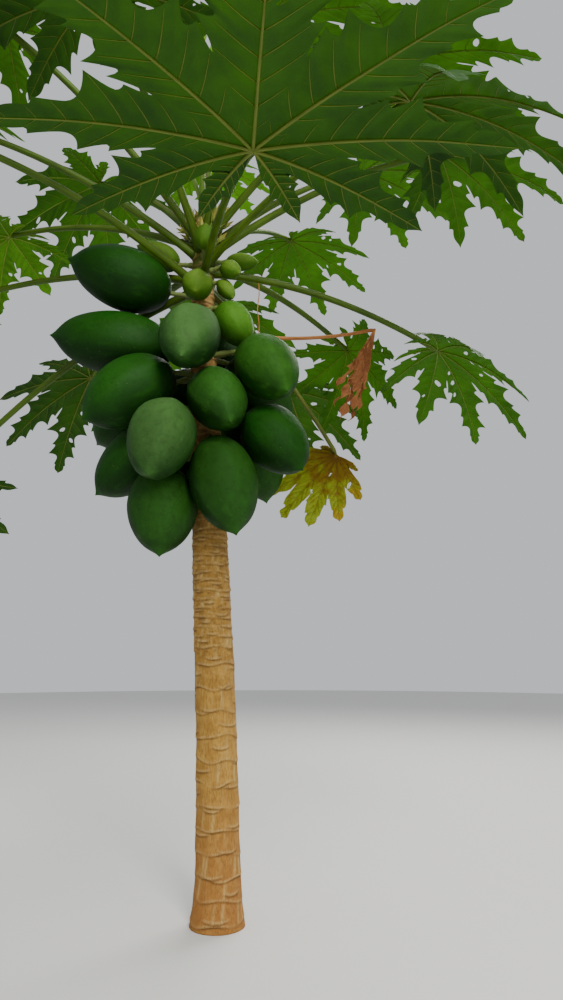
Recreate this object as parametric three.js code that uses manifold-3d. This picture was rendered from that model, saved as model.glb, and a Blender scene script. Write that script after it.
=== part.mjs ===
// A young papaya tree in full bearing: one soft, ringed trunk with no branches, a crowd of green
// fruit pressed together under the crown, and a crown of palmate leaves on long round stalks.
// Millimetres, +Z up. The origin is the middle of the flat cut under the trunk, at ground level.
// The viewer's side of the tree is -Y, and a bearing is an angle round the trunk from that side,
// positive towards +X. Heights are above the ground, and a share runs from 0 to 1.
import * as THREE from "three";
import { mergeVertices } from "three/addons/utils/BufferGeometryUtils.js";
import Module from "manifold-3d";

const wasm = await Module();
wasm.setup();

// Trunk
const trunkHeight = 1600;
const trunkFootRadius = 45; // without the root flare
const trunkTopRadius = 20;
const trunkTaperPower = 2.1; // the taper comes late: the trunk is nearly a column up to the fruit
const rootFlare = 13;
const rootFlareHeight = 64;
const topLean = -62; // how far the top stands off the foot, along X
const trunkSides = 16;
const trunkRings = 14;
const jointGap = 0.35; // between the trunk and each stalk that meets it

// Leaf stalks
const stalkSides = 6;
const stalkSteps = 4;
const stalkBaseRadius = 10.5;
const stalkEndRadius = 7;
const stalkBow = 0.07; // of the stalk's length, upwards at its middle

// Leaf blades: nine lobes, five of them different. A lobe's edge is given from the web to the
// tip as [share of the lobe's length, distance from its rib as a share of the same length].
const toothedEdge = [
  [0.62, 0.2],
  [0.67, 0.09],
  [0.85, 0.13],
  [0.87, 0.05],
];
const plainEdge = [
  [0.66, 0.19],
  [0.72, 0.08],
];
const smallEdge = [[0.66, 0.19]];
const leafEdges = [toothedEdge, toothedEdge, plainEdge, plainEdge, smallEdge];
const youngLeafEdges = [plainEdge, smallEdge, smallEdge];
const witheredEdge = [
  [0.7, 0.22],
  [0.86, 0.13],
];
const witheredEdges = Array(5).fill(witheredEdge);
const lobeBearings = [0, 38, 74, 110, 146]; // degrees to either side of the middle lobe
const lobeReaches = [1, 0.96, 0.86, 0.68, 0.34]; // of the middle lobe's length
const ribBend = 0.67; // where a toothed lobe's rib bends
const webReach = 0.42; // where two lobes part, as a share of their length
const witheredWebReach = 0.6; // the lobes of a withered leaf cling together
const webLift = 0.018; // of the middle lobe's length
const openSinusBearing = 166; // the open notch at the stalk, between the two last lobes
const openSinusReach = 0.13;
const lobeFold = 0.18; // how much higher a lobe's edge lies than its rib, per millimetre aside
const lateSag = 1.5; // how much further the back lobes hang than the middle one
const bladeThickness = 0.025; // of the middle lobe's length
const witheredGather = 0.62; // how far a withered leaf's lobes close up towards the middle one
const deadGather = 0.26; // the dead leaf's

// A leaf's row: name, height of its foot, bearing, rise of its stalk above level, length of the
// stalk, length of the middle lobe, pitch of the blade below level, roll of the blade, droop of
// its lobes' tips as a share of their length, turn of the blade in its own plane.
const leafRows = [
  ["leaf_01_yellow", 1400, 114, -48, 500, 210, 120, 140, 0.1, -20],
  ["leaf_02", 1403, -105, -33, 800, 270, 62, 8, 0.25, 0],
  ["leaf_03", 1418, 160, -6, 600, 320, 28, 0, 0.3, 0],
  ["leaf_04", 1430, 13, -11, 640, 460, -2, 0, 0.12, -8],
  ["leaf_05", 1406, -50, 10.5, 640, 400, 14, -4, 0.3, 0],
  ["leaf_06", 1424, -108, 2.6, 808, 285, 71, 0, 0.28, 0],
  ["leaf_07", 1446, 95, -18, 580, 290, 30, 0, 0.3, 0],
  ["leaf_08", 1454, -141, -9, 600, 320, 34, 0, 0.3, 0],
  ["leaf_09", 1458, 45, 10, 600, 380, 20, 5, 0.3, 0],
  ["leaf_10", 1470, 130, -11, 480, 250, 60, 0, 0.3, 0],
  ["leaf_11", 1484, -74, 23, 620, 310, 8, 0, 0.28, 0],
  ["leaf_12", 1480, -178, 16, 600, 320, 22, 0, 0.3, 0],
  ["leaf_13", 1484, 76, 19, 580, 300, 18, 0, 0.28, 0],
  ["leaf_14", 1494, -20, 34, 540, 390, 14, 0, 0.26, 0],
  ["leaf_15", 1512, -111, 15.5, 600, 290, 25, -10, 0.22, 0],
  ["leaf_16", 1510, 106, 36, 500, 280, 8, 0, 0.24, 0],
  ["leaf_17", 1522, 154, 30, 560, 290, 12, 0, 0.26, 0],
  ["leaf_18", 1534, -130, 40, 540, 310, 30, 0, 0.3, 0],
  ["leaf_19", 1546, 30, 48, 460, 330, 4, 0, 0.22, 0],
  ["leaf_20", 1558, -176, 58, 430, 230, 2, 0, 0.22, 0],
  ["leaf_21", 1522, 57, 28, 560, 320, 10, 0, 0.26, 0],
  ["leaf_22", 1526, -58, 38, 590, 320, 12, 0, 0.26, 0],
];

// The one dead leaf, whose dry stalk rests on the fruit.
const deadLeafRow = ["dead_leaf", 1300, 92, 1, 385, 245, 109, 28, 0.05, 0];
const deadStalkBaseRadius = 5;
const deadStalkEndRadius = 3.5;
const deadStalkBow = -0.06;

// The growing tip: a bud with upright young leaves round it, each a little smaller than the last.
const youngLeaves = 5;
const youngLeafTurn = 137.5; // degrees from one to the next
const youngLeafRise = [60, 6]; // the first one's, and what each next one adds
const youngLeafPitch = -35;
const youngLeafDroop = -0.15; // they still fold upwards
const youngStalkLength = 290;
const youngStalkRadii = [6, 4];
const youngLeafReach = 130;
const youngLeafKeeps = 0.8;
const budRadius = 13;
const budLength = 50;
const budFoot = 2; // above the top of the trunk

// Fruit
const fruitSides = 10;
const fruitRings = [0.015, 0.09, 0.24, 0.46, 0.68, 0.86, 0.96]; // shares of its length
const youngFruitSides = 8;
const youngFruitRings = [0.02, 0.16, 0.45, 0.75, 0.93];
const fruitStalkRadii = [7, 5];
const fruitStalkLength = 32; // from the trunk's bark to the fruit's shoulder

// A fruit's row: height of its stalk's foot, bearing, droop of its length below level, length,
// girth (its widest diameter).
const fruitRows = [
  [1368, -72, -13, 248, 146],
  [1340, 72, 60, 125, 88],
  [1286, -4, 46, 215, 132],
  [1252, -84, -4, 292, 152],
  [1290, 168, 42, 225, 138],
  [1188, 42, 46, 205, 132],
  [1162, -64, 36, 240, 150],
  [1225, 128, 36, 225, 138],
  [1156, 18, 50, 215, 126],
  [1180, -118, 30, 235, 142],
  [1210, -158, 44, 220, 134],
  [1092, -17, 54, 228, 142],
  [1068, 57, 46, 202, 134],
  [1120, 154, 34, 225, 138],
  [1046, -98, 40, 235, 140],
  [1028, 33, 72, 238, 144],
  [985, -34, 78, 212, 150],
  [1085, 136, 72, 205, 128],
  [1070, -150, 50, 230, 138],
  [1070, 178, 56, 225, 138],
];
const youngFruitRows = [
  [1465, -88, -26, 118, 66],
  [1398, -2, 46, 84, 70],
  [1466, 86, 0, 82, 42],
  [1436, 56, 30, 62, 44],
  [1412, 58, 62, 70, 38],
  [1474, 10, -58, 62, 50],
];

// How the fruit settles
const ballShares = [0.1, 0.2, 0.32, 0.46, 0.6, 0.73, 0.84, 0.93]; // balls that fill a fruit
const contactGap = 2; // between two fruits
const pullHome = 0.02; // of the way back, each pass
const pullingPasses = 600;
const settlePasses = 900;

const bark = new THREE.MeshStandardMaterial({ color: 0xb07a45, roughness: 0.85, metalness: 0 });
const leafGreen = new THREE.MeshStandardMaterial({ color: 0x3f7a24, roughness: 0.6, metalness: 0 });
const leafYellow = new THREE.MeshStandardMaterial({ color: 0xa88a20, roughness: 0.7, metalness: 0 });
const driedLeaf = new THREE.MeshStandardMaterial({ color: 0xa8622c, roughness: 0.85, metalness: 0 });
const fruitGreen = new THREE.MeshStandardMaterial({ color: 0x24542a, roughness: 0.45, metalness: 0 });
const youngGreen = new THREE.MeshStandardMaterial({ color: 0x7f9a2e, roughness: 0.5, metalness: 0 });

const radians = THREE.MathUtils.degToRad;
const up = new THREE.Vector3(0, 0, 1);

// The trunk's middle line: an easy S from the foot to the top.
function trunkMiddle(height) {
  const share = THREE.MathUtils.clamp(height / trunkHeight, 0, 1);
  return new THREE.Vector3(topLean * share * share * (3 - 2 * share), 0, height);
}

function trunkRadius(height) {
  const share = THREE.MathUtils.clamp(height / trunkHeight, 0, 1);
  const column = trunkFootRadius - (trunkFootRadius - trunkTopRadius) * share ** trunkTaperPower;
  return column + rootFlare * Math.exp(-height / rootFlareHeight);
}

// The direction away from the trunk at a bearing, level or rising.
function outward(bearing, rise = 0) {
  const [round, lift] = [radians(bearing), radians(rise)];
  const [x, y] = [Math.sin(round), -Math.cos(round)];
  return new THREE.Vector3(x * Math.cos(lift), y * Math.cos(lift), Math.sin(lift));
}

function solidOf(geometry) {
  const bare = new THREE.BufferGeometry();
  bare.setAttribute("position", geometry.getAttribute("position"));
  bare.setIndex(geometry.getIndex());
  const welded = mergeVertices(bare, 1e-3);
  const vertProperties = new Float32Array(welded.attributes.position.array);
  const triVerts = new Uint32Array(welded.index.array);
  return new wasm.Manifold(new wasm.Mesh({ numProp: 3, vertProperties, triVerts }));
}

function geometryOf(solid) {
  const { vertProperties, triVerts } = solid.getMesh();
  const geometry = new THREE.BufferGeometry();
  geometry.setAttribute("position", new THREE.BufferAttribute(vertProperties, 3));
  geometry.setIndex(new THREE.BufferAttribute(triVerts, 1));
  geometry.computeVertexNormals();
  return geometry;
}

// A closed round bar along +Z from rings of [height, radius].
function roundBar(rings, sides) {
  const points = rings.map(([height, radius]) => new THREE.Vector2(radius, height));
  points.unshift(new THREE.Vector2(0, rings[0][0]));
  points.push(new THREE.Vector2(0, rings.at(-1)[0]));
  return new THREE.LatheGeometry(points, sides).rotateX(Math.PI / 2);
}

// Carries each point of a geometry to a new place.
function reshape(geometry, carry) {
  const position = geometry.attributes.position;
  const point = new THREE.Vector3();
  for (let i = 0; i < position.count; i++) {
    carry(point.fromBufferAttribute(position, i));
    position.setXYZ(i, point.x, point.y, point.z);
  }
  return geometry;
}

// A tapering stalk: a round bar one unit long whose cross-sections are carried to a curve.
function stalkAlong(curve, [baseRadius, endRadius], sides, steps) {
  const rings = [];
  for (let step = 0; step <= steps; step++) {
    const share = step / steps;
    rings.push([share, endRadius + (baseRadius - endRadius) * (1 - share) ** 2]);
  }
  const place = new THREE.Vector3();
  const ahead = new THREE.Vector3();
  const aside = new THREE.Vector3();
  const above = new THREE.Vector3();
  return reshape(roundBar(rings, sides), (point) => {
    const { x, y, z } = point;
    curve.getPoint(z, place);
    curve.getTangent(z, ahead);
    aside.crossVectors(up, ahead).normalize();
    above.crossVectors(ahead, aside);
    point.copy(place).addScaledVector(aside, x).addScaledVector(above, y);
  });
}

// The trunk, or the room that it takes with a gap round it.
function makeTrunk(gap = 0) {
  const rings = [];
  for (let ring = 0; ring <= trunkRings; ring++) {
    const height = trunkHeight * (ring / trunkRings) ** 1.3; // closer together at the flare
    rings.push([height, trunkRadius(height) + gap]);
  }
  rings.at(-1)[0] += gap;
  return reshape(roundBar(rings, trunkSides), (point) => {
    point.x += trunkMiddle(point.z).x;
  });
}

// A leaf's frame: the curve of its stalk, the hub where the stalk meets the blade, and the
// blade's three directions.
function leafFrame([, foot, bearing, rise, length, , pitch, roll, , turn], bow) {
  const radius = trunkRadius(foot);
  const start = trunkMiddle(foot).addScaledVector(outward(bearing), radius / 2);
  const hub = trunkMiddle(foot).addScaledVector(outward(bearing), radius);
  hub.addScaledVector(outward(bearing, rise), length);
  const axes = bladeAxes(bearing, pitch, roll, turn);
  return { ...stalkCurve(start, hub, 2 * bow * length), hub, ...axes };
}

function stalkCurve(start, hub, lift) {
  const middle = start.clone().lerp(hub, 0.5);
  middle.z += lift;
  return { curve: new THREE.QuadraticBezierCurve3(start, middle, hub) };
}

function bladeAxes(bearing, pitch, roll, turn) {
  const along = outward(bearing, -pitch);
  const left = new THREE.Vector3().crossVectors(up, outward(bearing)).normalize();
  left.applyAxisAngle(along, radians(roll));
  const normal = new THREE.Vector3().crossVectors(along, left);
  along.applyAxisAngle(normal, radians(turn));
  left.applyAxisAngle(normal, radians(turn));
  return { along, left, normal };
}

// A blade's plan as points [ahead, to the left, lift], its faces, and its rim in order round it.
// Each lobe droops along its rib and folds up to either side of it.
function bladePlan({ edges, reach, droop, gather, webShare }) {
  const points = [];
  const faces = [];
  const addPoint = (bearing, length, share, aside) => {
    const turn = radians(bearing) * gather;
    const [ahead, left] = [share * length, aside * length * gather];
    const sag = droop * length * (share ** 2 + aside ** 2) * (1 + lateSag * (bearing / 180) ** 2);
    const lift = lobeFold * Math.abs(left) - sag;
    const x = ahead * Math.cos(turn) - left * Math.sin(turn);
    const y = ahead * Math.sin(turn) + left * Math.cos(turn);
    return points.push([x, y, lift]) - 1;
  };

  const last = edges.length - 1;
  const lobes = [];
  for (let number = -last; number <= last; number++) {
    const place = Math.abs(number);
    const bearing = Math.sign(number) * lobeBearings[place];
    lobes.push({ edge: edges[place], bearing, length: reach * lobeReaches[place] });
  }
  const centre = addPoint(0, reach, 0, 0);
  const webs = [addPoint(-openSinusBearing, reach, openSinusReach, 0)];
  lobes.slice(1).forEach((lobe, i) => {
    const before = lobes[i];
    const between = (before.bearing + lobe.bearing) / 2;
    const web = addPoint(between, (before.length + lobe.length) / 2, webShare, 0);
    points[web][2] += webLift * reach;
    webs.push(web);
  });
  webs.push(addPoint(openSinusBearing, reach, openSinusReach, 0));

  const rim = [centre];
  lobes.forEach(({ edge, bearing, length }, i) => {
    const rib = addPoint(bearing, length, webShare, 0);
    const bend = edge.length > 2 ? addPoint(bearing, length, ribBend, 0) : rib;
    const tip = addPoint(bearing, length, 1, 0);
    for (const side of [-1, 1]) {
      const web = webs[side < 0 ? i : i + 1];
      const [first, ...rest] = edge.map(([share, aside]) => {
        return addPoint(bearing, length, share, side * aside);
      });
      const addFace = (a, b, c) => faces.push(side < 0 ? [a, b, c] : [a, c, b]);
      addFace(centre, web, rib);
      addFace(rib, web, first);
      let outer = first;
      rest.forEach((next, step) => {
        addFace(step === 0 ? rib : bend, outer, next);
        if (step === 0 && bend !== rib) addFace(rib, next, bend);
        outer = next;
      });
      addFace(bend, outer, tip);
      rim.push(...(side < 0 ? [web, first, ...rest, tip] : [first, ...rest].reverse()));
    }
  });
  rim.push(webs.at(-1));
  return { points, faces, rim };
}

// A thin plate with the same plan above and below, and a wall along its rim.
function plateOf({ points, faces, rim }, { hub, along, left, normal }, thickness) {
  const count = points.length;
  const position = new Float32Array(count * 6);
  const place = new THREE.Vector3();
  points.forEach(([x, y, lift], i) => {
    place.copy(hub).addScaledVector(along, x).addScaledVector(left, y);
    place.addScaledVector(normal, lift - thickness / 2).toArray(position, i * 3);
    place.addScaledVector(normal, thickness).toArray(position, (i + count) * 3);
  });
  const index = [];
  for (const [a, b, c] of faces) {
    index.push(a, c, b, a + count, b + count, c + count);
  }
  rim.forEach((from, i) => {
    const to = rim[(i + 1) % rim.length];
    index.push(from, to, to + count, from, to + count, from + count);
  });
  const geometry = new THREE.BufferGeometry();
  geometry.setAttribute("position", new THREE.BufferAttribute(position, 3));
  return geometry.setIndex(index);
}

// A stalk and a blade joined, and balls along the stalk for the fruit to keep clear of.
function makeLeaf(frame, { radii, steps, ...plan }) {
  const stalk = stalkAlong(frame.curve, radii, stalkSides, steps);
  const blade = plateOf(bladePlan(plan), frame, bladeThickness * plan.reach);
  const poles = [];
  for (let share = 0.04; share < 0.9; share += 0.04) {
    poles.push({ middle: frame.curve.getPoint(share), radius: radii[0] });
  }
  return { solid: solidOf(stalk).add(solidOf(blade)), poles };
}

function makeGrowingTip() {
  const profile = [[0, budRadius], [budLength / 2, budRadius * 0.8], [budLength, budRadius * 0.3]];
  const bud = roundBar(profile, stalkSides).translate(topLean, 0, trunkHeight + budFoot);
  const parts = [solidOf(bud)];
  for (let number = 0; number < youngLeaves; number++) {
    const size = youngLeafKeeps ** number;
    const bearing = number * youngLeafTurn;
    const start = trunkMiddle(trunkHeight + budFoot + 10 + number * 4);
    const rise = youngLeafRise[0] + number * youngLeafRise[1];
    const hub = start.clone().addScaledVector(outward(bearing, rise), youngStalkLength * size);
    const frame = { ...stalkCurve(start, hub, 0), hub, ...bladeAxes(bearing, youngLeafPitch, 0, 0) };
    const leaf = makeLeaf(frame, {
      radii: youngStalkRadii,
      steps: 2,
      edges: youngLeafEdges,
      reach: youngLeafReach * size,
      droop: youngLeafDroop,
      gather: 1,
      webShare: webReach,
    });
    parts.push(leaf.solid);
  }
  return wasm.Manifold.union(parts);
}

// A fruit's outline, from its shoulder (0) to its tip (1), as a share of half its girth: a round
// shoulder, the widest place a little before the middle, and a pointed tip.
function fruitOutline(share) {
  return 2.357 * share ** 0.55 * (1 - share) ** 0.7;
}

function hangFruit([height, bearing, droop, length, girth]) {
  const shoulder = trunkMiddle(height);
  shoulder.addScaledVector(outward(bearing), trunkRadius(height) + fruitStalkLength);
  const tip = shoulder.clone().addScaledVector(outward(bearing, -droop), length);
  const balls = ballShares.map((share) => {
    const widest = Math.min(share * length + 4, (1 - share) * length);
    return { share, radius: Math.min((fruitOutline(share) * girth) / 2, widest) };
  });
  return { height, length, girth, shoulder, tip, home: [shoulder.clone(), tip.clone()], balls };
}

// Moves a fruit so that one of its balls moves by a push, turning it where the push is off centre.
function nudge(fruit, { share }, push) {
  const weight = (1 - share) ** 2 + share ** 2;
  fruit.shoulder.addScaledVector(push, (1 - share) / weight);
  fruit.tip.addScaledVector(push, share / weight);
}

function middleOf(fruit, ball) {
  return fruit.shoulder.clone().lerp(fruit.tip, ball.share);
}

function partFruits(fruit, other) {
  for (const ball of fruit.balls) {
    for (const rival of other.balls) {
      const apart = middleOf(fruit, ball).sub(middleOf(other, rival));
      const overlap = ball.radius + rival.radius + contactGap - apart.length();
      if (overlap <= 0) continue;
      apart.setLength(overlap / 2);
      nudge(fruit, ball, apart);
      nudge(other, rival, apart.negate());
    }
  }
}

function clearTrunkAndStalks(fruit, poles) {
  for (const ball of fruit.balls) {
    const middle = middleOf(fruit, ball);
    const apart = middle.clone().sub(trunkMiddle(middle.z));
    const bite = ball.radius + trunkRadius(middle.z) + contactGap - apart.length();
    if (bite > 0) nudge(fruit, ball, apart.setLength(bite));
    for (const pole of poles) {
      const away = middleOf(fruit, ball).sub(pole.middle);
      const overlap = ball.radius + pole.radius + contactGap - away.length();
      if (overlap > 0) nudge(fruit, ball, away.setLength(overlap));
    }
  }
}

function keepLength(fruit) {
  const span = fruit.tip.clone().sub(fruit.shoulder);
  span.setLength((span.length() - fruit.length) / 2);
  fruit.shoulder.add(span);
  fruit.tip.sub(span);
}

// Fruit settles as it does on the tree: each starts where its stalk would hold it, and then the
// fruits, the trunk and the leaf stalks push each other apart until nothing overlaps.
function settleFruit(rows, poles) {
  const fruits = rows.map(hangFruit);
  for (let pass = 0; pass < settlePasses; pass++) {
    const pull = pass < pullingPasses ? pullHome : 0;
    fruits.forEach((fruit, i) => {
      fruit.shoulder.lerp(fruit.home[0], pull);
      fruit.tip.lerp(fruit.home[1], pull);
      fruits.slice(i + 1).forEach((other) => partFruits(fruit, other));
      clearTrunkAndStalks(fruit, poles);
      keepLength(fruit);
    });
  }
  return fruits;
}

// A fruit and its stalk joined. The stalk leaves the trunk level and bends into the shoulder.
function makeFruit({ shoulder, tip, girth, length, height }, shares, sides) {
  const rings = shares.map((share) => [share * length, (fruitOutline(share) * girth) / 2]);
  rings.unshift([0, 0]);
  rings.push([length, 0]);
  const ahead = tip.clone().sub(shoulder).normalize();
  const body = roundBar(rings, sides);
  body.applyQuaternion(new THREE.Quaternion().setFromUnitVectors(up, ahead));
  body.translate(shoulder.x, shoulder.y, shoulder.z);

  const foot = trunkMiddle(Math.max(height, shoulder.z));
  const side = new THREE.Vector3(shoulder.x - foot.x, shoulder.y - foot.y, 0).normalize();
  foot.addScaledVector(side, trunkRadius(foot.z) / 2);
  const bend = foot.clone().addScaledVector(side, shoulder.distanceTo(foot) * 0.6);
  const end = shoulder.clone().addScaledVector(ahead, length * 0.08);
  const curve = new THREE.QuadraticBezierCurve3(foot, bend, end);
  return solidOf(body).add(solidOf(stalkAlong(curve, fruitStalkRadii, 5, 2)));
}

const tree = new THREE.Group();
const trunkRoom = solidOf(makeTrunk(jointGap));

function addPiece(name, solid, material) {
  const piece = new THREE.Mesh(geometryOf(solid), material);
  piece.name = name;
  tree.add(piece);
}

addPiece("trunk", solidOf(makeTrunk()), bark);
addPiece("growing_tip", makeGrowingTip(), youngGreen);

const poles = [];
for (const row of leafRows) {
  const withered = row[0].endsWith("yellow");
  const leaf = makeLeaf(leafFrame(row, stalkBow), {
    radii: [stalkBaseRadius, stalkEndRadius],
    steps: stalkSteps,
    edges: withered ? witheredEdges : leafEdges,
    reach: row[5],
    droop: row[8],
    gather: withered ? witheredGather : 1,
    webShare: withered ? witheredWebReach : webReach,
  });
  poles.push(...leaf.poles);
  addPiece(row[0], leaf.solid.subtract(trunkRoom), withered ? leafYellow : leafGreen);
}

const deadLeaf = makeLeaf(leafFrame(deadLeafRow, deadStalkBow), {
  radii: [deadStalkBaseRadius, deadStalkEndRadius],
  steps: stalkSteps,
  edges: youngLeafEdges,
  reach: deadLeafRow[5],
  droop: deadLeafRow[8],
  gather: deadGather,
  webShare: webReach,
});
poles.push(...deadLeaf.poles);
addPiece("dead_leaf", deadLeaf.solid.subtract(trunkRoom), driedLeaf);

settleFruit([...fruitRows, ...youngFruitRows], poles).forEach((fruit, i) => {
  if (i < fruitRows.length) {
    const name = "fruit_" + String(i + 1).padStart(2, "0");
    addPiece(name, makeFruit(fruit, fruitRings, fruitSides).subtract(trunkRoom), fruitGreen);
  } else {
    const name = "young_fruit_" + (i + 1 - fruitRows.length);
    const solid = makeFruit(fruit, youngFruitRings, youngFruitSides);
    addPiece(name, solid.subtract(trunkRoom), youngGreen);
  }
});

export default tree;
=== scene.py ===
# %% [markdown]
# # A papaya tree in full bearing
#
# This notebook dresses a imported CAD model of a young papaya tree: one soft ringed trunk with no
# branches, a crowd of green fruit under the crown, and palmate leaves on long stalks.
# The CAD model gives every piece its true size and place. Each plain solid is replaced here by a
# finer surface of the same reach, worked out with numpy, and gets a procedural finish.
# Lengths are in millimetres until the moment a mesh is made. +Z is up, the viewer is towards -Y,
# and a bearing is an angle round the trunk from the viewer's side, positive towards +X.

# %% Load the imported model
import math

import bpy
import numpy as np
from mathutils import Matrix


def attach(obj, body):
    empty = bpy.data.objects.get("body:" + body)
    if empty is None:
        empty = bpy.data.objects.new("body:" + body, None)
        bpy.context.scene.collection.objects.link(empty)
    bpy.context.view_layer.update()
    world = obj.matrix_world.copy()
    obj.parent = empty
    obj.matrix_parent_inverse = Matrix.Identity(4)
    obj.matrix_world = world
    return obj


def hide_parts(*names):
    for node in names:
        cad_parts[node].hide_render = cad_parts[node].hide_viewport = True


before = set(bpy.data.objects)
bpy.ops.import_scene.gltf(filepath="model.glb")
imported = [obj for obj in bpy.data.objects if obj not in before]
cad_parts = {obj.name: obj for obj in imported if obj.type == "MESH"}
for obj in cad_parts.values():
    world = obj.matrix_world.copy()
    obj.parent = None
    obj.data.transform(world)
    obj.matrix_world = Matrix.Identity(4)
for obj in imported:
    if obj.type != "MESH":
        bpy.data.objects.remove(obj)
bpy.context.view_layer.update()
MM = 0.001

# %% [markdown]
# ## The camera
#
# The photograph was taken 1.65 m in front of the trunk, from between knee and waist height and
# tipped up by about 11 degrees, so the foot of the tree is seen level and the crown from below.
# A camera can be placed by eye, but here three named numbers of the photograph place it: the
# focal length in pixels, the frame's height, and how far the horizon lies below the middle.

# %% Camera
FRAME_HEIGHT_PX = 1000
FOCAL_LENGTH_PX = 740
HORIZON_BELOW_MIDDLE_PX = 150
SENSOR_MM = 36
CAMERA_PLACE = (0.131, -1.65, 0.55)  # metres


def place_camera(location):
    """A level camera tipped up by atan(horizon / focal length), looking along +Y."""
    lens = bpy.data.cameras.new("camera")
    lens.sensor_width = SENSOR_MM
    lens.lens = SENSOR_MM * FOCAL_LENGTH_PX / FRAME_HEIGHT_PX
    camera = bpy.data.objects.new("camera", lens)
    camera.location = location
    tip = math.atan2(HORIZON_BELOW_MIDDLE_PX, FOCAL_LENGTH_PX)
    camera.rotation_euler = (math.pi / 2 + tip, 0, 0)
    bpy.context.scene.collection.objects.link(camera)
    bpy.context.scene.camera = camera
    return camera


camera = place_camera(CAMERA_PLACE)
print("lens:", round(camera.data.lens, 2), "mm")

# %% [markdown]
# ## Maths on shader sockets
#
# A finish is a small program: noise, masks and mixes that end in a shader. Wiring every Math node
# by hand hides that, so one class wraps a socket and lets Python's own signs add the nodes. A
# second class wraps a material and adds any other node from its type, settings and inputs.


# %% A socket that does arithmetic
class Signal:
    """One output of a finish's nodes. Arithmetic on it adds Math nodes, so 1 - mask reads as it is."""

    def __init__(self, finish, output):
        self.finish = finish
        self.output = output

    def math(self, operation, *values):
        """Adds one Math node that works on the values, plain numbers or signals."""
        return self.finish.node("ShaderNodeMath", {"operation": operation}, dict(enumerate(values)))

    def __add__(self, other):
        return self.math("ADD", self, other)

    def __radd__(self, other):
        return self.math("ADD", other, self)

    def __sub__(self, other):
        return self.math("SUBTRACT", self, other)

    def __rsub__(self, other):
        return self.math("SUBTRACT", other, self)

    def __mul__(self, other):
        return self.math("MULTIPLY", self, other)

    def __rmul__(self, other):
        return self.math("MULTIPLY", other, self)

    def __truediv__(self, other):
        return self.math("DIVIDE", self, other)

    def ramp(self, low, high):
        """0 below low, 1 above high, and an easy curve between them. With low over high it falls."""
        settings = {"interpolation_type": "SMOOTHSTEP"}
        return self.finish.node("ShaderNodeMapRange", settings, {0: self, 1: low, 2: high})


print("a socket can now add, subtract, multiply, divide and ramp")


# %% A material that adds its own nodes
class Finish:
    """A material and the few calls that build its node tree."""

    def __init__(self, name, **constants):
        self.material = bpy.data.materials.new(name)
        self.material.use_nodes = True
        self.tree = self.material.node_tree
        self.shader = self.tree.nodes["Principled BSDF"]
        self.end = self.tree.nodes["Material Output"]
        for socket, value in constants.items():
            self.set(self.shader.inputs[socket.replace("_", " ")], value)

    def set(self, socket, value):
        """Links a signal to a socket, or writes a plain value on it."""
        if isinstance(value, Signal):
            self.tree.links.new(value.output, socket)
        elif hasattr(value, "__len__") and len(value) == 3 and socket.type == "RGBA":
            socket.default_value = (*value, 1)
        else:
            socket.default_value = value

    def node(self, kind, settings=None, inputs=None, output=0):
        """Adds a node of a type: first its settings, then the values or links of its sockets."""
        node = self.tree.nodes.new(kind)
        for key, value in (settings or {}).items():
            setattr(node, key, value)
        for key, value in (inputs or {}).items():
            self.set(node.inputs[key], value)
        return Signal(self, node.outputs[output])

    def mix(self, share, first, second):
        """A colour between two: the first where share is 0, the second where it is 1."""
        inputs = {0: share, 6: first, 7: second}
        return self.node("ShaderNodeMix", {"data_type": "RGBA"}, inputs, output=2)

    def own(self, stretch=(1, 1, 1)):
        """The piece's own straightened coordinates in millimetres, stretched along each of them."""
        place = self.node("ShaderNodeAttribute", {"attribute_name": "own"}, output=1)
        inputs = {0: place, 1: stretch}
        return self.node("ShaderNodeVectorMath", {"operation": "MULTIPLY"}, inputs)

    def part(self, place, number):
        """One number of a place: 0, 1 or 2 for its x, y or z."""
        return self.node("ShaderNodeSeparateXYZ", {}, {0: place}, output=number)

    def value(self, name):
        """A number that the mesh carries at each point."""
        return self.node("ShaderNodeAttribute", {"attribute_name": name}, output=2)

    def noise(self, place, scale, detail=4, roughness=0.55):
        """Cloudy noise between 0 and 1. A scale of 0.1 makes clouds of about 10 mm."""
        inputs = {"Vector": place, "Scale": scale, "Detail": detail, "Roughness": roughness}
        return self.node("ShaderNodeTexNoise", {}, inputs)

    def surface(self, colour, roughness):
        """Leads a colour and a roughness into the shader."""
        self.set(self.shader.inputs["Base Color"], colour)
        self.set(self.shader.inputs["Roughness"], roughness)

    def bump(self, height, distance, strength=1.0):
        """Leads a height signal through a Bump node into the shader's normal."""
        inputs = {"Height": height, "Distance": distance * MM, "Strength": strength}
        self.set(self.shader.inputs["Normal"], self.node("ShaderNodeBump", {}, inputs))

    def let_light_through(self, colour, share):
        """Mixes in light that comes through from behind, as in a leaf held against the light."""
        glow = self.node("ShaderNodeBsdfTranslucent", {}, {"Color": colour})
        front = Signal(self, self.shader.outputs[0])
        both = self.node("ShaderNodeMixShader", {}, {0: share, 1: front, 2: glow})
        self.set(self.end.inputs["Surface"], both)


print("shader helpers are ready")

# %% [markdown]
# ## Surfaces from arrays
#
# Every piece is a grid of points: rings round a stalk or a fruit, or rows across half a lobe of a
# leaf. One function turns such grids into quads, a second closes bars with a point at both ends,
# and a third welds parts together and makes the Blender object. Beside its place, each point
# keeps its own straightened coordinates, so that a pattern follows a bent stalk or a drooping leaf.


# %% Grids and closed bars
def unit(vectors):
    """Each vector divided by its length."""
    return vectors / np.linalg.norm(vectors, axis=-1, keepdims=True)


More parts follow.
